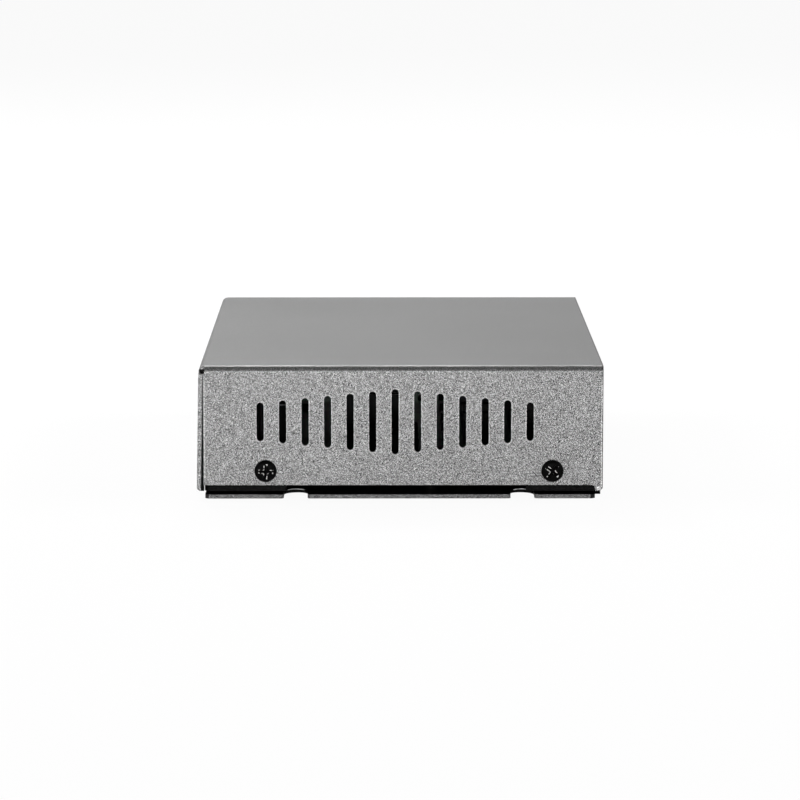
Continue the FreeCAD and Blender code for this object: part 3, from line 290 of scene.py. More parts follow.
def flake_group():
    """Tint is 1 + Contrast * ((n + 1) g ** n - 1), with a random g from 0 to 1 in each cell.

    n is FLAKE_POWER. The mean is 1, and a few cells are much brighter than the rest, as painted
    glints of flakes. Level calm makes the painted glints weaker on level faces. Height is an orange
    peel.
    """
    tree, given, result = start_group(
        "painted_flake_glints", {"Cells": 4000.0, "Contrast": 0.6, "Level calm": 0.6}, ("Tint", "Height"))
    place = add(tree, "TexCoord").outputs["Object"]
    cells = add(tree, "TexVoronoi", {"Vector": place, "Scale": given["Cells"]})
    grey = add(tree, "SeparateColor", {0: cells.outputs["Color"]}).outputs["Red"]
    # The painted glints are calmed on faces that lie level.
    up = add(tree, "SeparateXYZ", {0: add(tree, "NewGeometry").outputs["Normal"]}).outputs["Z"]
    calm = maths(tree, "MULTIPLY", maths(tree, "ABSOLUTE", up), given["Level calm"])
    contrast = maths(tree, "MULTIPLY", given["Contrast"], maths(tree, "SUBTRACT", 1.0, calm))
    steep = maths(tree, "POWER", grey, FLAKE_POWER)
    bright = maths(tree, "MULTIPLY", steep, FLAKE_POWER + 1.0)
    swing = maths(tree, "MULTIPLY", maths(tree, "SUBTRACT", bright, 1.0), contrast)
    tree.links.new(maths(tree, "ADD", swing, 1.0), result["Tint"])
    peel = add(tree, "TexNoise", {"Vector": place, "Scale": PEEL_SCALE, "Detail": 1.0})
    tree.links.new(peel.outputs["Fac"], result["Height"])
    return tree


EFFECTS = {"flakes": flake_group()}
print(f"painted_flake_glints has {len(EFFECTS['flakes'].nodes)} nodes")

# %% [markdown]
# ## Uneven shade, and streaks in metal
#
# No finish is quite even, so every one gets a slow cloudiness from soft noise. Plated and rolled
# metal shows drawn-out streaks instead. They are the same noise on coordinates that are squeezed
# along the streaks, which stretches its spots into lines.

# %% Build the cloud and streak groups
CLOUD_RANGE = (0.3, 0.7)
STREAK_SQUEEZE = (0.03, 1.0, 1.0)


def around_one(tree, value, depth):
    """1 plus or minus `depth`, as `value` goes from 0 to 1."""
    swing = maths(tree, "MULTIPLY", maths(tree, "SUBTRACT", value, 0.5), depth)
    return add(tree, "Math", {0: swing, 1: 2.0, 2: 1.0}, operation="MULTIPLY_ADD").outputs[0]


def cloud_group():
    """Shade is 1 plus or minus Depth, in soft patches about 1 / Patches metres wide."""
    tree, given, result = start_group(
        "uneven_shade", {"Patches": 60.0, "Depth": 0.05}, ("Shade", "Mask"))
    place = add(tree, "TexCoord").outputs["Object"]
    noise = add(tree, "TexNoise", {"Vector": place, "Scale": given["Patches"], "Detail": 3.0})
    mask = ramp(tree, noise.outputs["Fac"], *CLOUD_RANGE)
    tree.links.new(around_one(tree, mask, given["Depth"]), result["Shade"])
    tree.links.new(mask, result["Mask"])
    return tree


def streak_group():
    """Streaks along X: noise on coordinates whose X is nearly squeezed flat."""
    tree, given, result = start_group(
        "drawn_streaks", {"Fineness": 2500.0, "Depth": 0.1}, ("Tint", "Height"))
    place = add(tree, "TexCoord").outputs["Object"]
    squeezed = add(tree, "Mapping", {"Vector": place, "Scale": STREAK_SQUEEZE})
    noise = add(tree, "TexNoise", {"Vector": squeezed.outputs[0], "Scale": given["Fineness"],
                                   "Detail": 2.0})
    tree.links.new(around_one(tree, noise.outputs["Fac"], given["Depth"]), result["Tint"])
    tree.links.new(noise.outputs["Fac"], result["Height"])
    return tree


EFFECTS["clouds"] = cloud_group()
EFFECTS["streaks"] = streak_group()
print(f"{len(EFFECTS)} effects so far")

# %% [markdown]
# ## Painted shade between the sheets
#
# The inside faces of the two sheets belong to the same solids as the painted outside, yet they lie
# in deep shade and the narrow gaps between the sheets look black. That shade is painted into the
# colour. Painting them by hand would need a second material. A test of position needs none: a
# surface is painted dark where it lies in a box. Further boxes paint shade along the cover's front
# edges, along the top's rear edge, at the ends of the tray's long edges and on the jack shields.
# The boxes keep clear of the outer faces by SKIN, a little less than a sheet, and of the underside
# by HAIR. BEYOND is past every surface.

# %% Build the painted shade group and its boxes
def painted_shade_group():
    """Keep is Dark where Inner x < |x| < Half x, |y - Middle y| < Half y and Low z < z < High z.

    Everywhere else it is 1. Dark is the share of colour that the painted shade leaves.
    """
    tree, given, result = start_group(
        "boxes_of_painted_shade", {"Half x": 0.069, "Inner x": -1.0, "Middle y": 0.0, "Half y": 0.049,
                           "Low z": 0.001, "High z": 0.0324, "Dark": 0.03}, ("Keep",))
    place = add(tree, "SeparateXYZ", {0: add(tree, "TexCoord").outputs["Object"]}).outputs
    from_middle = maths(tree, "SUBTRACT", place["Y"], given["Middle y"])
    from_side = maths(tree, "ABSOLUTE", place["X"])
    tests = [maths(tree, "LESS_THAN", from_side, given["Half x"]),
             maths(tree, "GREATER_THAN", from_side, given["Inner x"]),
             maths(tree, "LESS_THAN", maths(tree, "ABSOLUTE", from_middle), given["Half y"]),
             maths(tree, "GREATER_THAN", place["Z"], given["Low z"]),
             maths(tree, "LESS_THAN", place["Z"], given["High z"])]
    within = tests[0]
    for test in tests[1:]:
        within = maths(tree, "MULTIPLY", within, test)
    loss = maths(tree, "MULTIPLY", within, maths(tree, "SUBTRACT", 1.0, given["Dark"]))
    tree.links.new(maths(tree, "SUBTRACT", 1.0, loss), result["Keep"])
    return tree


# A box of painted shade: `dark` is the share of the colour that is kept inside it.
def painted_shade_box(across, along, up, dark=0.03):
    """The group's values for a box, from its reach in |x|, y and z in millimetres."""
    return {"Inner_x": across[0] * MM, "Half_x": across[1] * MM,
            "Middle_y": (along[0] + along[1]) / 2 * MM, "Half_y": (along[1] - along[0]) / 2 * MM,
            "Low_z": up[0] * MM, "High_z": up[1] * MM, "Dark": dark}


# The painted shade group is kept under the key dark.
EFFECTS["dark"] = painted_shade_group()
SKIN, HAIR, BEYOND = 0.95, 0.04, 1.0
REAR_SKIN, COVER_FOOT = 0.85, 0.5
# FRONT_RIM and REAR_RIM set bands of painted shade along the cover's front edges and the top's rear
# edge.
FRONT_RIM, REAR_RIM, REAR_RIM_FALL = 0.25, 0.99, 1.9
# The corner boxes paint shade at the four ends of the tray's long edges, under the cover's corners.
CORNER_X, CORNER_TOP, FRONT_CORNER, REAR_CORNER = 62.5, 1.3, 2.81, 1.15
# SHIELD_LIT is how far in from the front the jack shields stay unshaded; behind it their shade is
# painted.
SHIELD_LIT, SHIELD_REAR = 3.35, 1.35
inward, all_across = (-BEYOND, SIDE_X - SKIN), (-BEYOND, SIDE_X + BEYOND)
corner_across, corner_up = (CORNER_X, SIDE_X + BEYOND), (HAIR, CORNER_TOP)
out_front, out_rear, out_top = FRONT_Y - BEYOND, REAR_Y + BEYOND, TOP_Z + BEYOND
COVER_PAINTED_SHADE = [
    painted_shade_box(inward, (out_front, REAR_Y - REAR_SKIN), (COVER_FOOT, TOP_Z - SKIN)),
    painted_shade_box(all_across, (out_front, FRONT_Y + FRONT_RIM), (0.0, out_top), 0.3),
    painted_shade_box(all_across, (REAR_Y - REAR_RIM, out_rear), (TOP_Z - REAR_RIM_FALL, out_top), 0.45)]
TRAY_PAINTED_SHADE = [
    painted_shade_box(inward, (TRAY_FRONT + HAIR, out_rear), (HAIR, out_top)),
    painted_shade_box(corner_across, (TRAY_FRONT + HAIR, TRAY_FRONT + FRONT_CORNER), corner_up, 0.06),
    painted_shade_box(corner_across, (TRAY_REAR - REAR_CORNER, out_rear), corner_up, 0.15)]
SHIELD_PAINTED_SHADE = [
    painted_shade_box(inward, (FRONT_Y + SHIELD_LIT, REAR_Y - SHIELD_REAR), (COVER_FOOT, TOP_Z - SKIN), 0.25)]
print(f"boxes: {len(COVER_PAINTED_SHADE)} in the cover, {len(TRAY_PAINTED_SHADE)} in the tray,"
      f" {len(SHIELD_PAINTED_SHADE)} round the jacks")

# %% [markdown]
# ## One function for a finish
#
# Each finish is a Principled shader with its plain numbers set on the shader itself. Only what
# changes over the surface comes through nodes: the tint into Base Color, and a height through a
# Bump node into Normal. The boxes paint shade into the colour, but a dark colour would still throw
# back the sky from its gloss, so the boxes also turn the surface into a metal, and a black metal
# throws nothing back.

# %% Write the finish function
def effect(tree, name, **values):
    """One of the shared groups, placed in a material with its own values; gives its outputs."""
    node = tree.nodes.new("ShaderNodeGroup")
    node.node_tree = EFFECTS[name]
    for title, value in values.items():
        node.inputs[title.replace("_", " ")].default_value = value
    return node.outputs


def finish(name, colour, metallic, roughness, tints, height=None, bump=(0.2, 0.00003),
           boxes=(), **more):
    """A material: `colour` times every tint in `tints` and every dark box in `boxes`.

    `height` is the number of the tint whose second output makes the bump, if any, and `bump` is
    that bump's strength and distance. The boxes paint shade into the colour, and the first of them
    turns into metal as it darkens.
    """
    material = bpy.data.materials.new(name)
    material.use_nodes = True
    tree = material.node_tree
    shader = tree.nodes["Principled BSDF"]
    shader.inputs["Metallic"].default_value = metallic
    shader.inputs["Roughness"].default_value = roughness
    for title, value in more.items():
        shader.inputs[title.replace("_", " ")].default_value = value
    outputs = [effect(tree, kind, **values) for kind, values in tints]
    # kept holds, for each box, the share of colour left by its painted shade.
    kept = [effect(tree, "dark", **box)[0] for box in boxes]
    product = outputs[0][0]
    for factor in [sockets[0] for sockets in outputs[1:]] + kept:
        product = maths(tree, "MULTIPLY", product, factor)
    # Where a box paints shade, the surface turns to metal as well, so its gloss darkens with the
    # colour.
    if kept:
        dark = maths(tree, "SUBTRACT", 1.0, kept[0])
        tree.links.new(maths(tree, "MAXIMUM", dark, metallic), shader.inputs["Metallic"])
    paint = add(tree, "VectorMath", {0: colour, "Scale": product}, operation="SCALE")
    tree.links.new(paint.outputs[0], shader.inputs["Base Color"])
    if height is not None:
        dents = add(tree, "Bump", {"Height": outputs[height][1], "Strength": bump[0],
                                   "Distance": bump[1]})
        tree.links.new(dents.outputs[0], shader.inputs["Normal"])
    return material


def grain(patches, depth):
    """The uneven shade as an entry for `finish`."""
    return ("clouds", {"Patches": patches, "Depth": depth})


def streaks(fineness, depth):
    """The drawn streaks as an entry for `finish`."""
    return ("streaks", {"Fineness": fineness, "Depth": depth})


print(f"effects to mix: {', '.join(EFFECTS)}")

# %% [markdown]
# ## The painted sheets
#
# Both sheets have a grey powder coat with metal flakes. It is made as a rough metal with a dull
# reflection, which is what a layer of flakes under a clear film amounts to. The tray's coat is
# painted darker than the cover's, as painted shade for the sheet that lies low under the cover.
# The beads of thick paint beside the cut edges are the same paint, painted brighter as painted
# highlights.

# %% Mix the paint
# FLAKES carries the painted glints of the flakes, made weaker on level faces by Level_calm.
FLAKES = ("flakes", {"Cells": 12000.0, "Contrast": 1.0, "Level_calm": 0.8})
PEEL = (0.25, 0.00002)
FINISHES = {
    # The cover's paint gets painted shade from its boxes, inside and along its front and rear edges.
    "cover_coat": finish("flake_paint", (0.24, 0.24, 0.24), 0.85, 0.34, [FLAKES, grain(25, 0.04)],
                         height=0, bump=PEEL, boxes=COVER_PAINTED_SHADE,
                         Specular_Tint=(0.38, 0.38, 0.38, 1)),
    # The two bead paints are painted brighter than the sheet: painted highlights along the cut
    # edges.
    "bead_painted_highlight": finish("bead_paint_painted_highlight", (0.66, 0.66, 0.66), 0.85, 0.35, [FLAKES]),
    "edge_painted_highlight": finish("edge_paint_painted_highlight", (0.98, 0.98, 0.98), 0.85, 0.35, [FLAKES]),
    # The tray's coat is painted darker than the cover's as painted shade, and its boxes paint shade
    # inside it and at its ends.
    "tray_coat": finish("tray_paint_with_painted_shade", (0.18, 0.18, 0.18), 0.6, 0.42,
                        [FLAKES, grain(40, 0.05)], height=0, bump=PEEL, boxes=TRAY_PAINTED_SHADE,
                        Specular_Tint=(0.43, 0.43, 0.43, 1))}
print(f"{len(FINISHES)} kinds of paint")

# %% [markdown]
# ## The black screws
#
# The screws are oiled black steel. A screwdriver wears the black off the rims of the recess, and
# bare steel glints there in specks. Each point of the mesh carries a value named worn, which is 1
# on those rims, and the material shows steel where worn and a fine noise are both high.

# %% Blacken the screws
SPECK_SCALE = 1500.0
SPECK_RANGE = (0.53, 0.56)
BARE_STEEL = (0.95, 0.95, 0.93, 1)


def black_oxide():
    """Oiled black steel. Where the mesh's `worn` value is high, bare steel shows in specks."""
    material = finish("black_oxide", (0.0025, 0.0025, 0.0025), 0.0, 0.3, [grain(900, 0.3)],
                      Specular_IOR_Level=0.03)
    tree = material.node_tree
    shader = tree.nodes["Principled BSDF"]
    place = add(tree, "TexCoord").outputs["Object"]
    specks = add(tree, "TexNoise", {"Vector": place, "Scale": SPECK_SCALE, "Detail": 0.0})
    patch = ramp(tree, specks.outputs["Fac"], *SPECK_RANGE)
    worn = add(tree, "Attribute", attribute_name="worn").outputs["Fac"]
    bare = maths(tree, "MULTIPLY", patch, worn)
    black = shader.inputs["Base Color"].links[0].from_socket
    tree.links.new(blend(tree, bare, black, BARE_STEEL), shader.inputs["Base Color"])
    tree.links.new(bare, shader.inputs["Metallic"])
    return material


FINISHES["screw_coat"] = black_oxide()
print(f"specks of about {1 / SPECK_SCALE / MM:.1f} mm")

# %% [markdown]
# ## The circuit board
#
# A board is green resin over copper tracks, and the tracks show through as paler lines. On a real
# board they run in bundles, some one way and some the other. Cells of a Voronoi pattern stand for
# the bundles, and each cell picks its direction by a random number, or stays bare.

# %% Print the board
BUNDLES_PER_METRE = 110.0
TRACKS_PER_METRE, TRACK_SHARE = 1250.0, 0.35
TURNED_ABOVE, BARE_ABOVE = 0.5, 0.6
TRACK_GREEN = (0.02, 0.10, 0.035, 1)


def printed_board():
    """Green resin over copper tracks: fine lines that run along X in some patches, Y in others."""
    material = finish("solder_mask", (0.005, 0.040, 0.016), 0.0, 0.55, [grain(200, 0.25)],
                      Specular_IOR_Level=0.1)
    tree = material.node_tree
    shader = tree.nodes["Principled BSDF"]
    place = add(tree, "TexCoord").outputs["Object"]
    local = add(tree, "SeparateXYZ", {0: place}).outputs
    patch = add(tree, "TexVoronoi", {"Vector": place, "Scale": BUNDLES_PER_METRE},
                distance="CHEBYCHEV")
    pick = add(tree, "SeparateColor", {0: patch.outputs["Color"]}).outputs
    lines = []
    for axis in ("X", "Y"):
        repeat = maths(tree, "FRACT", maths(tree, "MULTIPLY", local[axis], TRACKS_PER_METRE))
        lines.append(maths(tree, "LESS_THAN", repeat, TRACK_SHARE))
    turn = maths(tree, "GREATER_THAN", pick["Red"], TURNED_ABOVE)
    track = add(tree, "Mix", {"Factor": turn, 2: lines[0], 3: lines[1]}).outputs[0]
    bare = maths(tree, "GREATER_THAN", pick["Green"], BARE_ABOVE)
    shown = maths(tree, "MULTIPLY", track, maths(tree, "SUBTRACT", 1.0, bare))
    resin = shader.inputs["Base Color"].links[0].from_socket
    tree.links.new(blend(tree, shown, resin, TRACK_GREEN), shader.inputs["Base Color"])
    return material


FINISHES["board_resin"] = printed_board()
print(f"tracks every {1 / TRACKS_PER_METRE / MM:.1f} mm")

# %% [markdown]
# ## Metals, plastics, lenses and chips
#
# What is left differs only in its numbers. Black parts are kept at about one per cent, because
# they stand close behind the slots and must look black from outside. The lenses get a clear coat,
# as moulded lamps have.

# %% Finish the rest
MATT_BUMP = (0.2, 0.00002)
FINISHES |= {
    "black_anodised": finish("black_anodised", (0.012, 0.012, 0.013), 0.3, 0.45,
                             [streaks(1800.0, 0.2)]),
    # The plated steel gets painted shade on the jack shields inside the cover, from its box.
    "plated_steel": finish("nickel_plate", (0.55, 0.54, 0.52), 1.0, 0.18,
                           [streaks(2500.0, 0.12), grain(120, 0.05)],
                           height=0, bump=(0.15, 0.00002), boxes=SHIELD_PAINTED_SHADE),
    "moulded_black": finish("black_moulding", (0.012, 0.012, 0.012), 0.0, 0.45,
                            [grain(1500, 0.2)], height=0, bump=MATT_BUMP),
    "green_lens": finish("green_milk_lens", (0.45, 0.72, 0.45), 0.0, 0.2, [grain(900, 0.08)],
                         Coat_Weight=0.5, Coat_Roughness=0.05),
    "amber_lens": finish("amber_milk_lens", (0.78, 0.55, 0.22), 0.0, 0.2, [grain(900, 0.08)],
                         Coat_Weight=0.5, Coat_Roughness=0.05),
    "contact_gold": finish("contact_gold", (0.82, 0.58, 0.20), 1.0, 0.2, [grain(1500, 0.08)]),
    "chip_black": finish("chip_epoxy", (0.014, 0.014, 0.015), 0.0, 0.6, [grain(1200, 0.2)],
                         height=0, bump=MATT_BUMP, Specular_IOR_Level=0.2),
    "bare_aluminium": finish("can_aluminium", (0.55, 0.55, 0.56), 1.0, 0.35,
                             [streaks(1800.0, 0.1)]),
    "ferrite": finish("ferrite", (0.009, 0.009, 0.0095), 0.0, 0.8, [grain(1500, 0.25)],
                      height=0, bump=(0.3, 0.00003), Specular_IOR_Level=0.03),
    "fuse_ceramic": finish("fuse_ceramic", (0.60, 0.58, 0.52), 0.0, 0.3, [grain(600, 0.08)]),
    "chip_ceramic": finish("chip_ceramic", (0.30, 0.20, 0.12), 0.0, 0.5, [grain(900, 0.12)])}
slot_of = {entry["node"]: entry["material_slot"] for entry in frame["record"]["subparts"]}
for name, node in nodes.items():
    node.data.materials.clear()
    node.data.materials.append(FINISHES[slot_of[name]])
print(f"{len(FINISHES)} finishes on {len(nodes)} nodes")

# %% [markdown]
# ## The sleeved capacitors
#
# A bulk capacitor is an aluminium can in a black plastic sleeve. Its bare end is scored with a
# cross, so that it can burst there safely, and a pale stripe marks one lead. All three are tests
# of position, measured from the middle of the can, so each can has a material of its own.

# %% Sleeve the capacitors
BARE_END_Z = 0.0075
STRIPE_Y = 0.0044
SCORE_HALF = 0.00015
SLEEVE, STRIPE, SCORE = (0.006, 0.006, 0.007, 1), (0.30, 0.30, 0.30, 1), (0.10, 0.10, 0.10, 1)


def sleeved_can(number, middle):
    """A can about `middle`: bare above BARE_END_Z and striped past STRIPE_Y, else the sleeve."""
    material = finish(f"sleeved_can_{number}", (0.15, 0.15, 0.155), 1.0, 0.35, [grain(600, 0.08)],
                      Specular_IOR_Level=0.05)
    tree = material.node_tree
    shader = tree.nodes["Principled BSDF"]
    place = add(tree, "TexCoord").outputs["Object"]
    centred = add(tree, "Mapping", {"Vector": place, "Location": tuple(-middle)}).outputs[0]
    local = add(tree, "SeparateXYZ", {0: centred}).outputs
    bare_end = maths(tree, "GREATER_THAN", local["Z"], BARE_END_Z)
    stripe = maths(tree, "GREATER_THAN", local["Y"], STRIPE_Y)
    nearest = maths(tree, "MINIMUM", maths(tree, "ABSOLUTE", local["X"]),
                    maths(tree, "ABSOLUTE", local["Y"]))
    score = maths(tree, "LESS_THAN", nearest, SCORE_HALF)
    metal = shader.inputs["Base Color"].links[0].from_socket
    colour = blend(tree, bare_end, blend(tree, stripe, SLEEVE, STRIPE),
                   blend(tree, score, metal, SCORE))
    tree.links.new(colour, shader.inputs["Base Color"])
    tree.links.new(bare_end, shader.inputs["Metallic"])
    return material


for number in (1, 2, 3):
    name = f"bulk_capacitor_{number}"
    corner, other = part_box(name)
    nodes[name].data.materials[0] = sleeved_can(number, (corner + other) / 2)
    print(f"{name}: {(other - corner).z / MM:.1f} mm high")

# %% [markdown]
# ## Turning a grid of points into a mesh
#
# Each new piece is a surface worked out on a grid: rows along one parameter, columns along the
# other. The helper joins neighbouring points into four-sided faces, and closes the grid across a
# seam when the surface comes back to where it started.

# %% Helpers for grids
TUBE_SIDES = 8


def grid_faces(rows, columns, close_rows=False, close_columns=False):
    """Faces of a grid, numbered row by row, optionally closed in each direction."""
    r = np.arange(rows if close_rows else rows - 1)
    c = np.arange(columns if close_columns else columns - 1)
    r, c = np.meshgrid(r, c, indexing="ij")
    r2, c2 = (r + 1) % rows, (c + 1) % columns
    corners = [r * columns + c, r * columns + c2, r2 * columns + c2, r2 * columns + c]
    return np.stack(corners, axis=-1).reshape(-1, 4)


def full_turn(points):
    """Angles of `points` equal steps round a circle."""
    return np.arange(points) * 2 * math.pi / points


def make_piece(name, parts, slot, replaced=(), coat=None):
    """A piece from (points, faces) parts, riding on the switch and standing for `replaced`."""
    points, faces, start = [], [], 0
    for part_points, part_faces in parts:
        points.append(np.asarray(part_points, float).reshape(-1, 3))
        faces += (np.asarray(part_faces) + start).tolist()
        start += len(points[-1])
    mesh = bpy.data.meshes.new(name)
    mesh.from_pydata(np.concatenate(points).tolist(), [], faces)
    mesh.validate()
    mesh.polygons.foreach_set("use_smooth", [True] * len(mesh.polygons))
    mesh.materials.append(FINISHES[coat or slot])
    piece = bpy.data.objects.new(name, mesh)
    bpy.context.scene.collection.objects.link(piece)
    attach(piece, "root")
    if replaced:
        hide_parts(*replaced)
    print(f"{name}: {len(mesh.polygons)} faces")
    return piece


print(f"a grid of 3 by 4 points closed both ways has {len(grid_faces(3, 4, True, True))} faces")

# %% [markdown]
# ## The cover screws
#
# Four black pan-head screws with cross recesses hold the cover. A screw is a surface of
# revolution: a profile turned about its axis. Two things break the symmetry and are added as
# changes to that surface. The thread makes the shank's radius rise and fall along a helix, and the
# recess lowers the head's top wherever a point lies inside the cross. A cut made by a boolean
# would give long thin triangles there, and the fine glints on the bevelled rims would be lost.

# %% Draw a screw's profile
HEAD_RADIUS, HEAD_HEIGHT, CROWN_RADIUS, CROWN_FALL, RIM_FOOT = 2.8, 1.3, 1.9, 0.10, 0.25
SEAT_STEPS, SEAT_RISE = (0.04, 0.15), 0.06
SHANK_RADIUS, SHANK_LENGTH, TIP_RADIUS, TIP_LENGTH = 1.5, 5.0, 0.7, 0.1
THREAD_PITCH, THREAD_DEPTH, THREAD_START = 0.5, 0.28, 0.05
THREAD_END = SHANK_LENGTH - 0.25


def screw_profile():
    """Radius and height along the screw, from the middle of the head to the end of the shank.

    The crown is a flat parabola and the rim a quarter of an ellipse.
    """
    crown_r = np.linspace(0.0, CROWN_RADIUS, 44)
    crown_h = HEAD_HEIGHT - CROWN_FALL * (crown_r / CROWN_RADIUS) ** 2
    turn = np.linspace(0.0, math.pi / 2, 12)[1:]
    rim_r = CROWN_RADIUS + (HEAD_RADIUS - CROWN_RADIUS) * np.sin(turn)
    rim_h = RIM_FOOT + (crown_h[-1] - RIM_FOOT) * np.cos(turn)
    under_r = np.array([HEAD_RADIUS - SEAT_STEPS[0], HEAD_RADIUS - SEAT_STEPS[1], SHANK_RADIUS])
    under_h = np.array([SEAT_RISE, 0.0, 0.0])
    shank_h = -np.linspace(THREAD_START, THREAD_END, 56)
    shank_r = np.full(shank_h.shape, SHANK_RADIUS)
    tip_r = np.array([SHANK_RADIUS - THREAD_DEPTH, TIP_RADIUS, 0.0])
    tip_h = -np.array([SHANK_LENGTH - TIP_LENGTH, SHANK_LENGTH, SHANK_LENGTH])
    radius = np.concatenate([crown_r, rim_r, under_r, shank_r, tip_r])
    height = np.concatenate([crown_h, rim_h, under_h, shank_h, tip_h])
    return radius, height


print(f"{len(screw_profile()[0])} points from the crown to the tip")

# %% [markdown]
# ## Cutting the thread and the recess
#
# Where a screw sits is measured on the plain screws in the frame. Their heads fall into two groups
# along Y, and the middle of each group is a screw's axis. Each screw stops at an angle of its own,
# as it does when a person tightens it by hand.

# %% Cut the cover screws
RECESS_REACH, RECESS_HALF, RECESS_TAPER = 1.70, 0.38, 0.06
RECESS_DEPTH, RECESS_WALL = 0.7, 0.12
BEVEL_WIDTH, BEVEL_DEPTH = 0.17, 0.10
HEAD_TOP, WORN_REACH = 0.5, 0.02
SCREW_COLUMNS = 128
plain = mesh_points("cover_screws")
heads = {"front": plain[plain[:, 1] < 0], "rear": plain[plain[:, 1] > 0]}
SCREW_Z = (plain[:, 2].min() + plain[:, 2].max()) / 2
SCREW_Y = {end: (head[:, 1].min() + head[:, 1].max()) / 2 for end, head in heads.items()}
SPINS = {(-1, "front"): 0.62, (-1, "rear"): 0.03, (1, "front"): 0.9, (1, "rear"): 0.3}


def screw(side, middle_y, spin):
    """One screw on the side at x = side * SIDE_X, with its cross turned by `spin`.

    The thread takes a saw-tooth off the radius, which moves by one pitch in each turn. The recess
    lowers a point by how deep it lies within the nearer arm of the cross.
    """
    radius, height = screw_profile()
    r, a = np.meshgrid(radius, full_turn(SCREW_COLUMNS), indexing="ij")
    h = np.repeat(height[:, None], SCREW_COLUMNS, axis=1)
    tooth = np.abs(((h / THREAD_PITCH + a / (2 * math.pi)) % 1.0) * 2 - 1)
    on_shank = (h < -THREAD_START / 2) & (h > -THREAD_END - THREAD_START)
    r = np.where(on_shank, r - THREAD_DEPTH * tooth, r)
    u, v = r * np.cos(a + spin), r * np.sin(a + spin)
    arms = [np.minimum(RECESS_HALF - RECESS_TAPER * np.abs(q) - np.abs(p),
                       RECESS_REACH - np.abs(q)) for p, q in ((u, v), (v, u))]
    within = np.maximum(*arms)
    deep = np.clip(within / RECESS_WALL, 0.0, 1.0)
    bevel = np.clip((within + BEVEL_WIDTH) / BEVEL_WIDTH, 0.0, 1.0)
    on_head = h > HEAD_TOP
    worn = on_head & (within > -BEVEL_WIDTH) & (within < WORN_REACH)
    h = np.where(on_head, h - BEVEL_DEPTH * bevel - RECESS_DEPTH * deep, h)
    y = middle_y + r * np.cos(a) * side
    z = SCREW_Z + r * np.sin(a)
    points = np.stack([side * (SIDE_X + h), y, z], axis=-1) * MM
    return points, grid_faces(len(radius), SCREW_COLUMNS, close_columns=True)[:, ::-1], worn


turned = [screw(side, SCREW_Y[end], SPINS[side, end])
          for side in (-1, 1) for end in ("front", "rear")]
screws = make_piece("pan_head_screws", [part[:2] for part in turned], "screw_coat",
                    ["cover_screws"])
wear = screws.data.attributes.new("worn", "FLOAT", "POINT")
wear.data.foreach_set("value", np.concatenate([part[2].ravel() for part in turned]).astype(float))
print(f"axes at y = {SCREW_Y['front']:.2f} and {SCREW_Y['rear']:.2f}, z = {SCREW_Z:.2f} mm")

# %% [markdown]
# ## Beads of paint round the slots
#
# Powder paint creeps back from a cut edge and leaves a fine bead beside it. Its paint is painted
# brighter than the sheet's, a painted highlight that shows as a pale outline. A bead is a thin
# closed tube, carried round the outline of a slot. Each side has thirteen slots, which get longer
# towards the middle one.

# %% Lay the beads
SLOT_COUNT, SLOT_PITCH, SLOT_MIDDLE, SLOT_WIDTH, SLOT_Z = 13, 5.625, 1.15, 1.75, 19.5
SLOT_SHORT, SLOT_STEP = 9.75, 1.12
BEAD_WIDTH, BEAD_HEIGHT = 0.30, 0.12
HALF_TURN = np.linspace(0.0, math.pi, 13)


def slot_bead(side, number):
    """A flattened tube round one slot: an ellipse carried along two lines and two half circles."""
    from_end = min(number, SLOT_COUNT - 1 - number)
    length = SLOT_SHORT + SLOT_STEP * from_end
    middle = SLOT_MIDDLE + (number - (SLOT_COUNT - 1) / 2) * SLOT_PITCH
    half, radius = (length - SLOT_WIDTH) / 2, SLOT_WIDTH / 2
    around = np.concatenate([HALF_TURN, HALF_TURN + math.pi])
    centre_z = np.repeat([half, -half], len(HALF_TURN))
    section = full_turn(TUBE_SIDES)
    out = radius + BEAD_WIDTH / 2 + BEAD_WIDTH / 2 * np.cos(section)
    rise = BEAD_HEIGHT / 2 * np.sin(section)
    y = middle + side * out[None] * np.cos(around)[:, None]
    z = SLOT_Z + centre_z[:, None] + out[None] * np.sin(around)[:, None]
    x = side * (SIDE_X + np.repeat(rise[None], len(around), axis=0))
    return np.stack([x, y, z], axis=-1) * MM, grid_faces(len(around), TUBE_SIDES, True, True)


# The slot beads get the brighter paint of the painted highlight.
make_piece("slot_beads", [slot_bead(side, number) for side in (-1, 1)
                          for number in range(SLOT_COUNT)], "cover_coat", coat="bead_painted_highlight")

# %% [markdown]
# ## Beads along the edges of the sides
#
# The same bead runs along a side's two upright edges, in a near-white paint that is a painted
# highlight, so it shows as a fine bright line. At the front it goes on round the corner of a small
# tab, whose end is covered by a wider bead. Where the uprights stand is measured on the cover's own
# mesh.

# %% Lay the edge beads
EDGE_LOW, EDGE_HIGH, EDGE_INSET, EDGE_WIDTH = 3.9, 30.9, 0.35, 0.34
EDGE_POINTS = 9
REAR_PANEL_Y = 49.2
TAB_ROUND, TAB_FOOT, TAB_LENGTH, TAB_WIDTH = 1.0, 1.95, 1.3, 0.8
TAB_ABOVE, TAB_INSET, TAB_RISE = 0.2, 0.15, 0.75
TAB_POINTS = 5
END_TAPER = 0.05
ON_FACE = 0.01


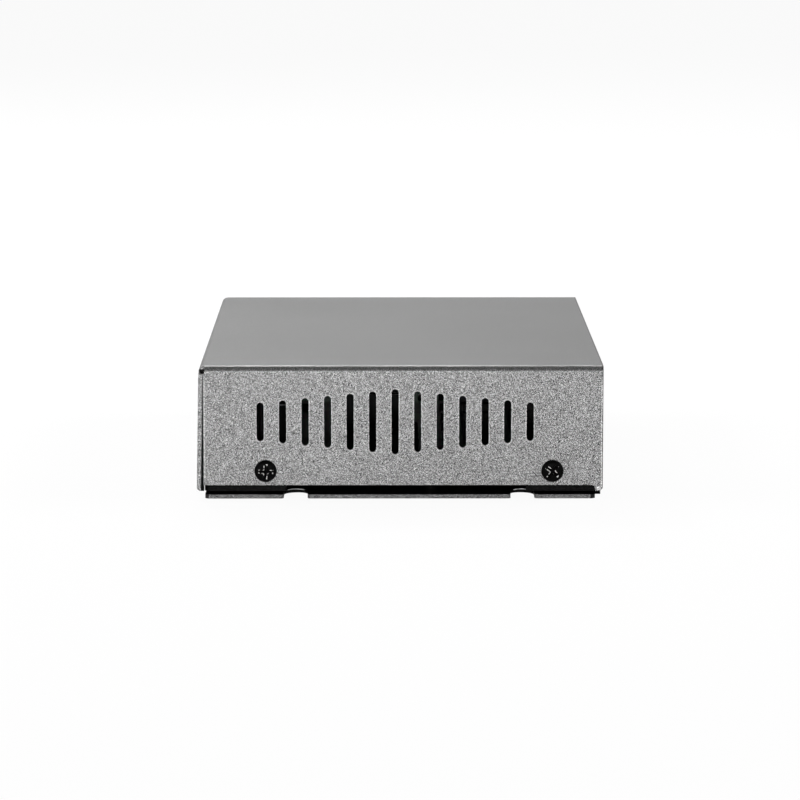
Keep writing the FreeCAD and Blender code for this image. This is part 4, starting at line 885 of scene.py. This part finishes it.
def tube(path, width, height, out):
    """An ellipse, `width` along the surface and `height` along `out`, carried along `path`.

    Its two ends are drawn in to a twentieth, so the tube looks closed.
    """
    out = np.tile(out, (len(path), 1))
    across = np.cross(out, np.gradient(path, axis=0))
    across /= np.linalg.norm(across, axis=1, keepdims=True)
    section = full_turn(TUBE_SIDES)
    taper = np.ones(len(path))
    taper[[0, -1]] = END_TAPER
    ring = (across[:, None] * np.cos(section)[None, :, None] * width / 2
            + out[:, None] * np.sin(section)[None, :, None] * height / 2)
    points = path[:, None] + ring * taper[:, None, None]
    return points * MM, grid_faces(len(path), TUBE_SIDES, close_columns=True)


def on_side_face(side, y, z):
    """A path on the side's outer face, from its y and z values."""
    return np.stack([np.full(len(y), side * SIDE_X), y, z], axis=-1)


spots = mesh_points("top_cover")
side_y = spots[(np.abs(spots[:, 0]) > SIDE_X - ON_FACE) & (spots[:, 2] < TOP_Z - 1.0), 1]
front, rear = side_y.min() + EDGE_INSET, side_y[side_y < REAR_PANEL_Y].max() - EDGE_INSET
bend = np.linspace(0.0, math.pi / 2, EDGE_POINTS)
reach = TAB_ROUND - EDGE_INSET
front_y = np.concatenate([np.full(EDGE_POINTS, front), front + reach - reach * np.cos(bend),
                          [front + TAB_LENGTH]])
tab_top = TAB_FOOT + TAB_ROUND
front_z = np.concatenate([np.linspace(EDGE_HIGH, tab_top + TAB_ABOVE, EDGE_POINTS),
                          tab_top - reach * np.sin(bend), [TAB_FOOT + EDGE_INSET]])
rear_z = np.linspace(EDGE_LOW, EDGE_HIGH, EDGE_POINTS)
tab_y = np.linspace(front + TAB_INSET, front + TAB_LENGTH, TAB_POINTS)
tab_z = np.full(TAB_POINTS, TAB_FOOT + TAB_RISE)
uprights = []
for side in (-1, 1):
    for y, z, width in ((front_y, front_z, EDGE_WIDTH),
                        (np.full(EDGE_POINTS, rear), rear_z, EDGE_WIDTH),
                        (tab_y, tab_z, TAB_WIDTH)):
        uprights.append(tube(on_side_face(side, y, z), width, BEAD_HEIGHT, (side, 0.0, 0.0)))
# The edge beads get the near-white paint of the painted highlight.
make_piece("edge_beads", uprights, "cover_coat", coat="edge_painted_highlight")
print(f"side edges at y = {front:.2f} and {rear:.2f} mm")

# %% [markdown]
# ## Beads at the notches
#
# The tray's long edges have two notches each, and paint gathers at their inner ends too. An inner
# end is rounded and lies deepest at its middle, so the bead there is a short tube along a parabola.
# Its paint is painted brighter than the tray's, a painted highlight on the rim.

# %% Lay the notch beads
NOTCH_MIDDLES, NOTCH_REACH = (-30.8, 26.1), 2.2
NOTCH_END_X, NOTCH_BULGE, NOTCH_BEAD, FLOOR_TOP = 61.45, 1.4, 0.30, 1.0
turn = np.linspace(-1.0, 1.0, 13)
arcs = []
for side in (-1, 1):
    for middle in NOTCH_MIDDLES:
        path = np.stack([side * (NOTCH_END_X + NOTCH_BULGE * turn ** 2),
                         middle + NOTCH_REACH * turn, np.full(len(turn), FLOOR_TOP)], axis=-1)
        arcs.append(tube(path, NOTCH_BEAD, NOTCH_BEAD, (side, 0.0, 0.0)))
# The notch beads get the brighter paint of the painted highlight.
make_piece("notch_beads", arcs, "tray_coat", coat="bead_painted_highlight")

# %% [markdown]
# ## The socket contacts
#
# In each jack eight gold-plated wires slope down towards the back and spring up against the plug.
# A wire is a circle carried along a smooth path, so each one is a small tube of its own.

# %% Bend the contact wires
CONTACTS, CONTACT_PITCH, WIRE_RADIUS, WIRE_POINTS = 8, 1.02, 0.19, 25
HOOK_FROM, HOOK_SHARE = 0.92, 0.97
END_POWER = 24


def contact_wire(x, front, back, top, bottom):
    """A tube along a path that leaves the roof at the front and sinks in an S towards the back.

    The S is 3 t ** 2 - 2 t ** 3, and the path's last points rise a little, as a hook.
    """
    t = np.linspace(0.0, 1.0, WIRE_POINTS)
    y = front + (back - front) * t
    z = top + (bottom - top) * (3 * t ** 2 - 2 * t ** 3) * np.where(t < HOOK_FROM, 1.0, HOOK_SHARE)
    along = np.stack([np.gradient(y), np.gradient(z)], axis=-1)
    along /= np.linalg.norm(along, axis=-1, keepdims=True)
    ring = full_turn(TUBE_SIDES)
    shrink = WIRE_RADIUS * np.sqrt(np.clip(1 - (2 * t - 1) ** END_POWER, 0.0, 1.0))
    px = x + shrink[:, None] * np.cos(ring)[None]
    py = y[:, None] - shrink[:, None] * np.sin(ring)[None] * along[:, 1:2]
    pz = z[:, None] + shrink[:, None] * np.sin(ring)[None] * along[:, 0:1]
    return np.stack([px, py, pz], axis=-1) * MM, grid_faces(len(t), TUBE_SIDES, close_columns=True)


for port in range(1, 6):
    corner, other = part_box(f"jack_contacts_{port}")
    (x_low, y_low, z_low), (x_high, y_high, z_high) = corner / MM, other / MM
    offsets = (np.arange(CONTACTS) - (CONTACTS - 1) / 2) * CONTACT_PITCH
    wires = [contact_wire((x_low + x_high) / 2 + offset, y_low + WIRE_RADIUS,
                          y_high - WIRE_RADIUS, z_high - WIRE_RADIUS, z_low + WIRE_RADIUS)
             for offset in offsets]
    make_piece(f"contact_wires_{port}", wires, "contact_gold", [f"jack_contacts_{port}"])
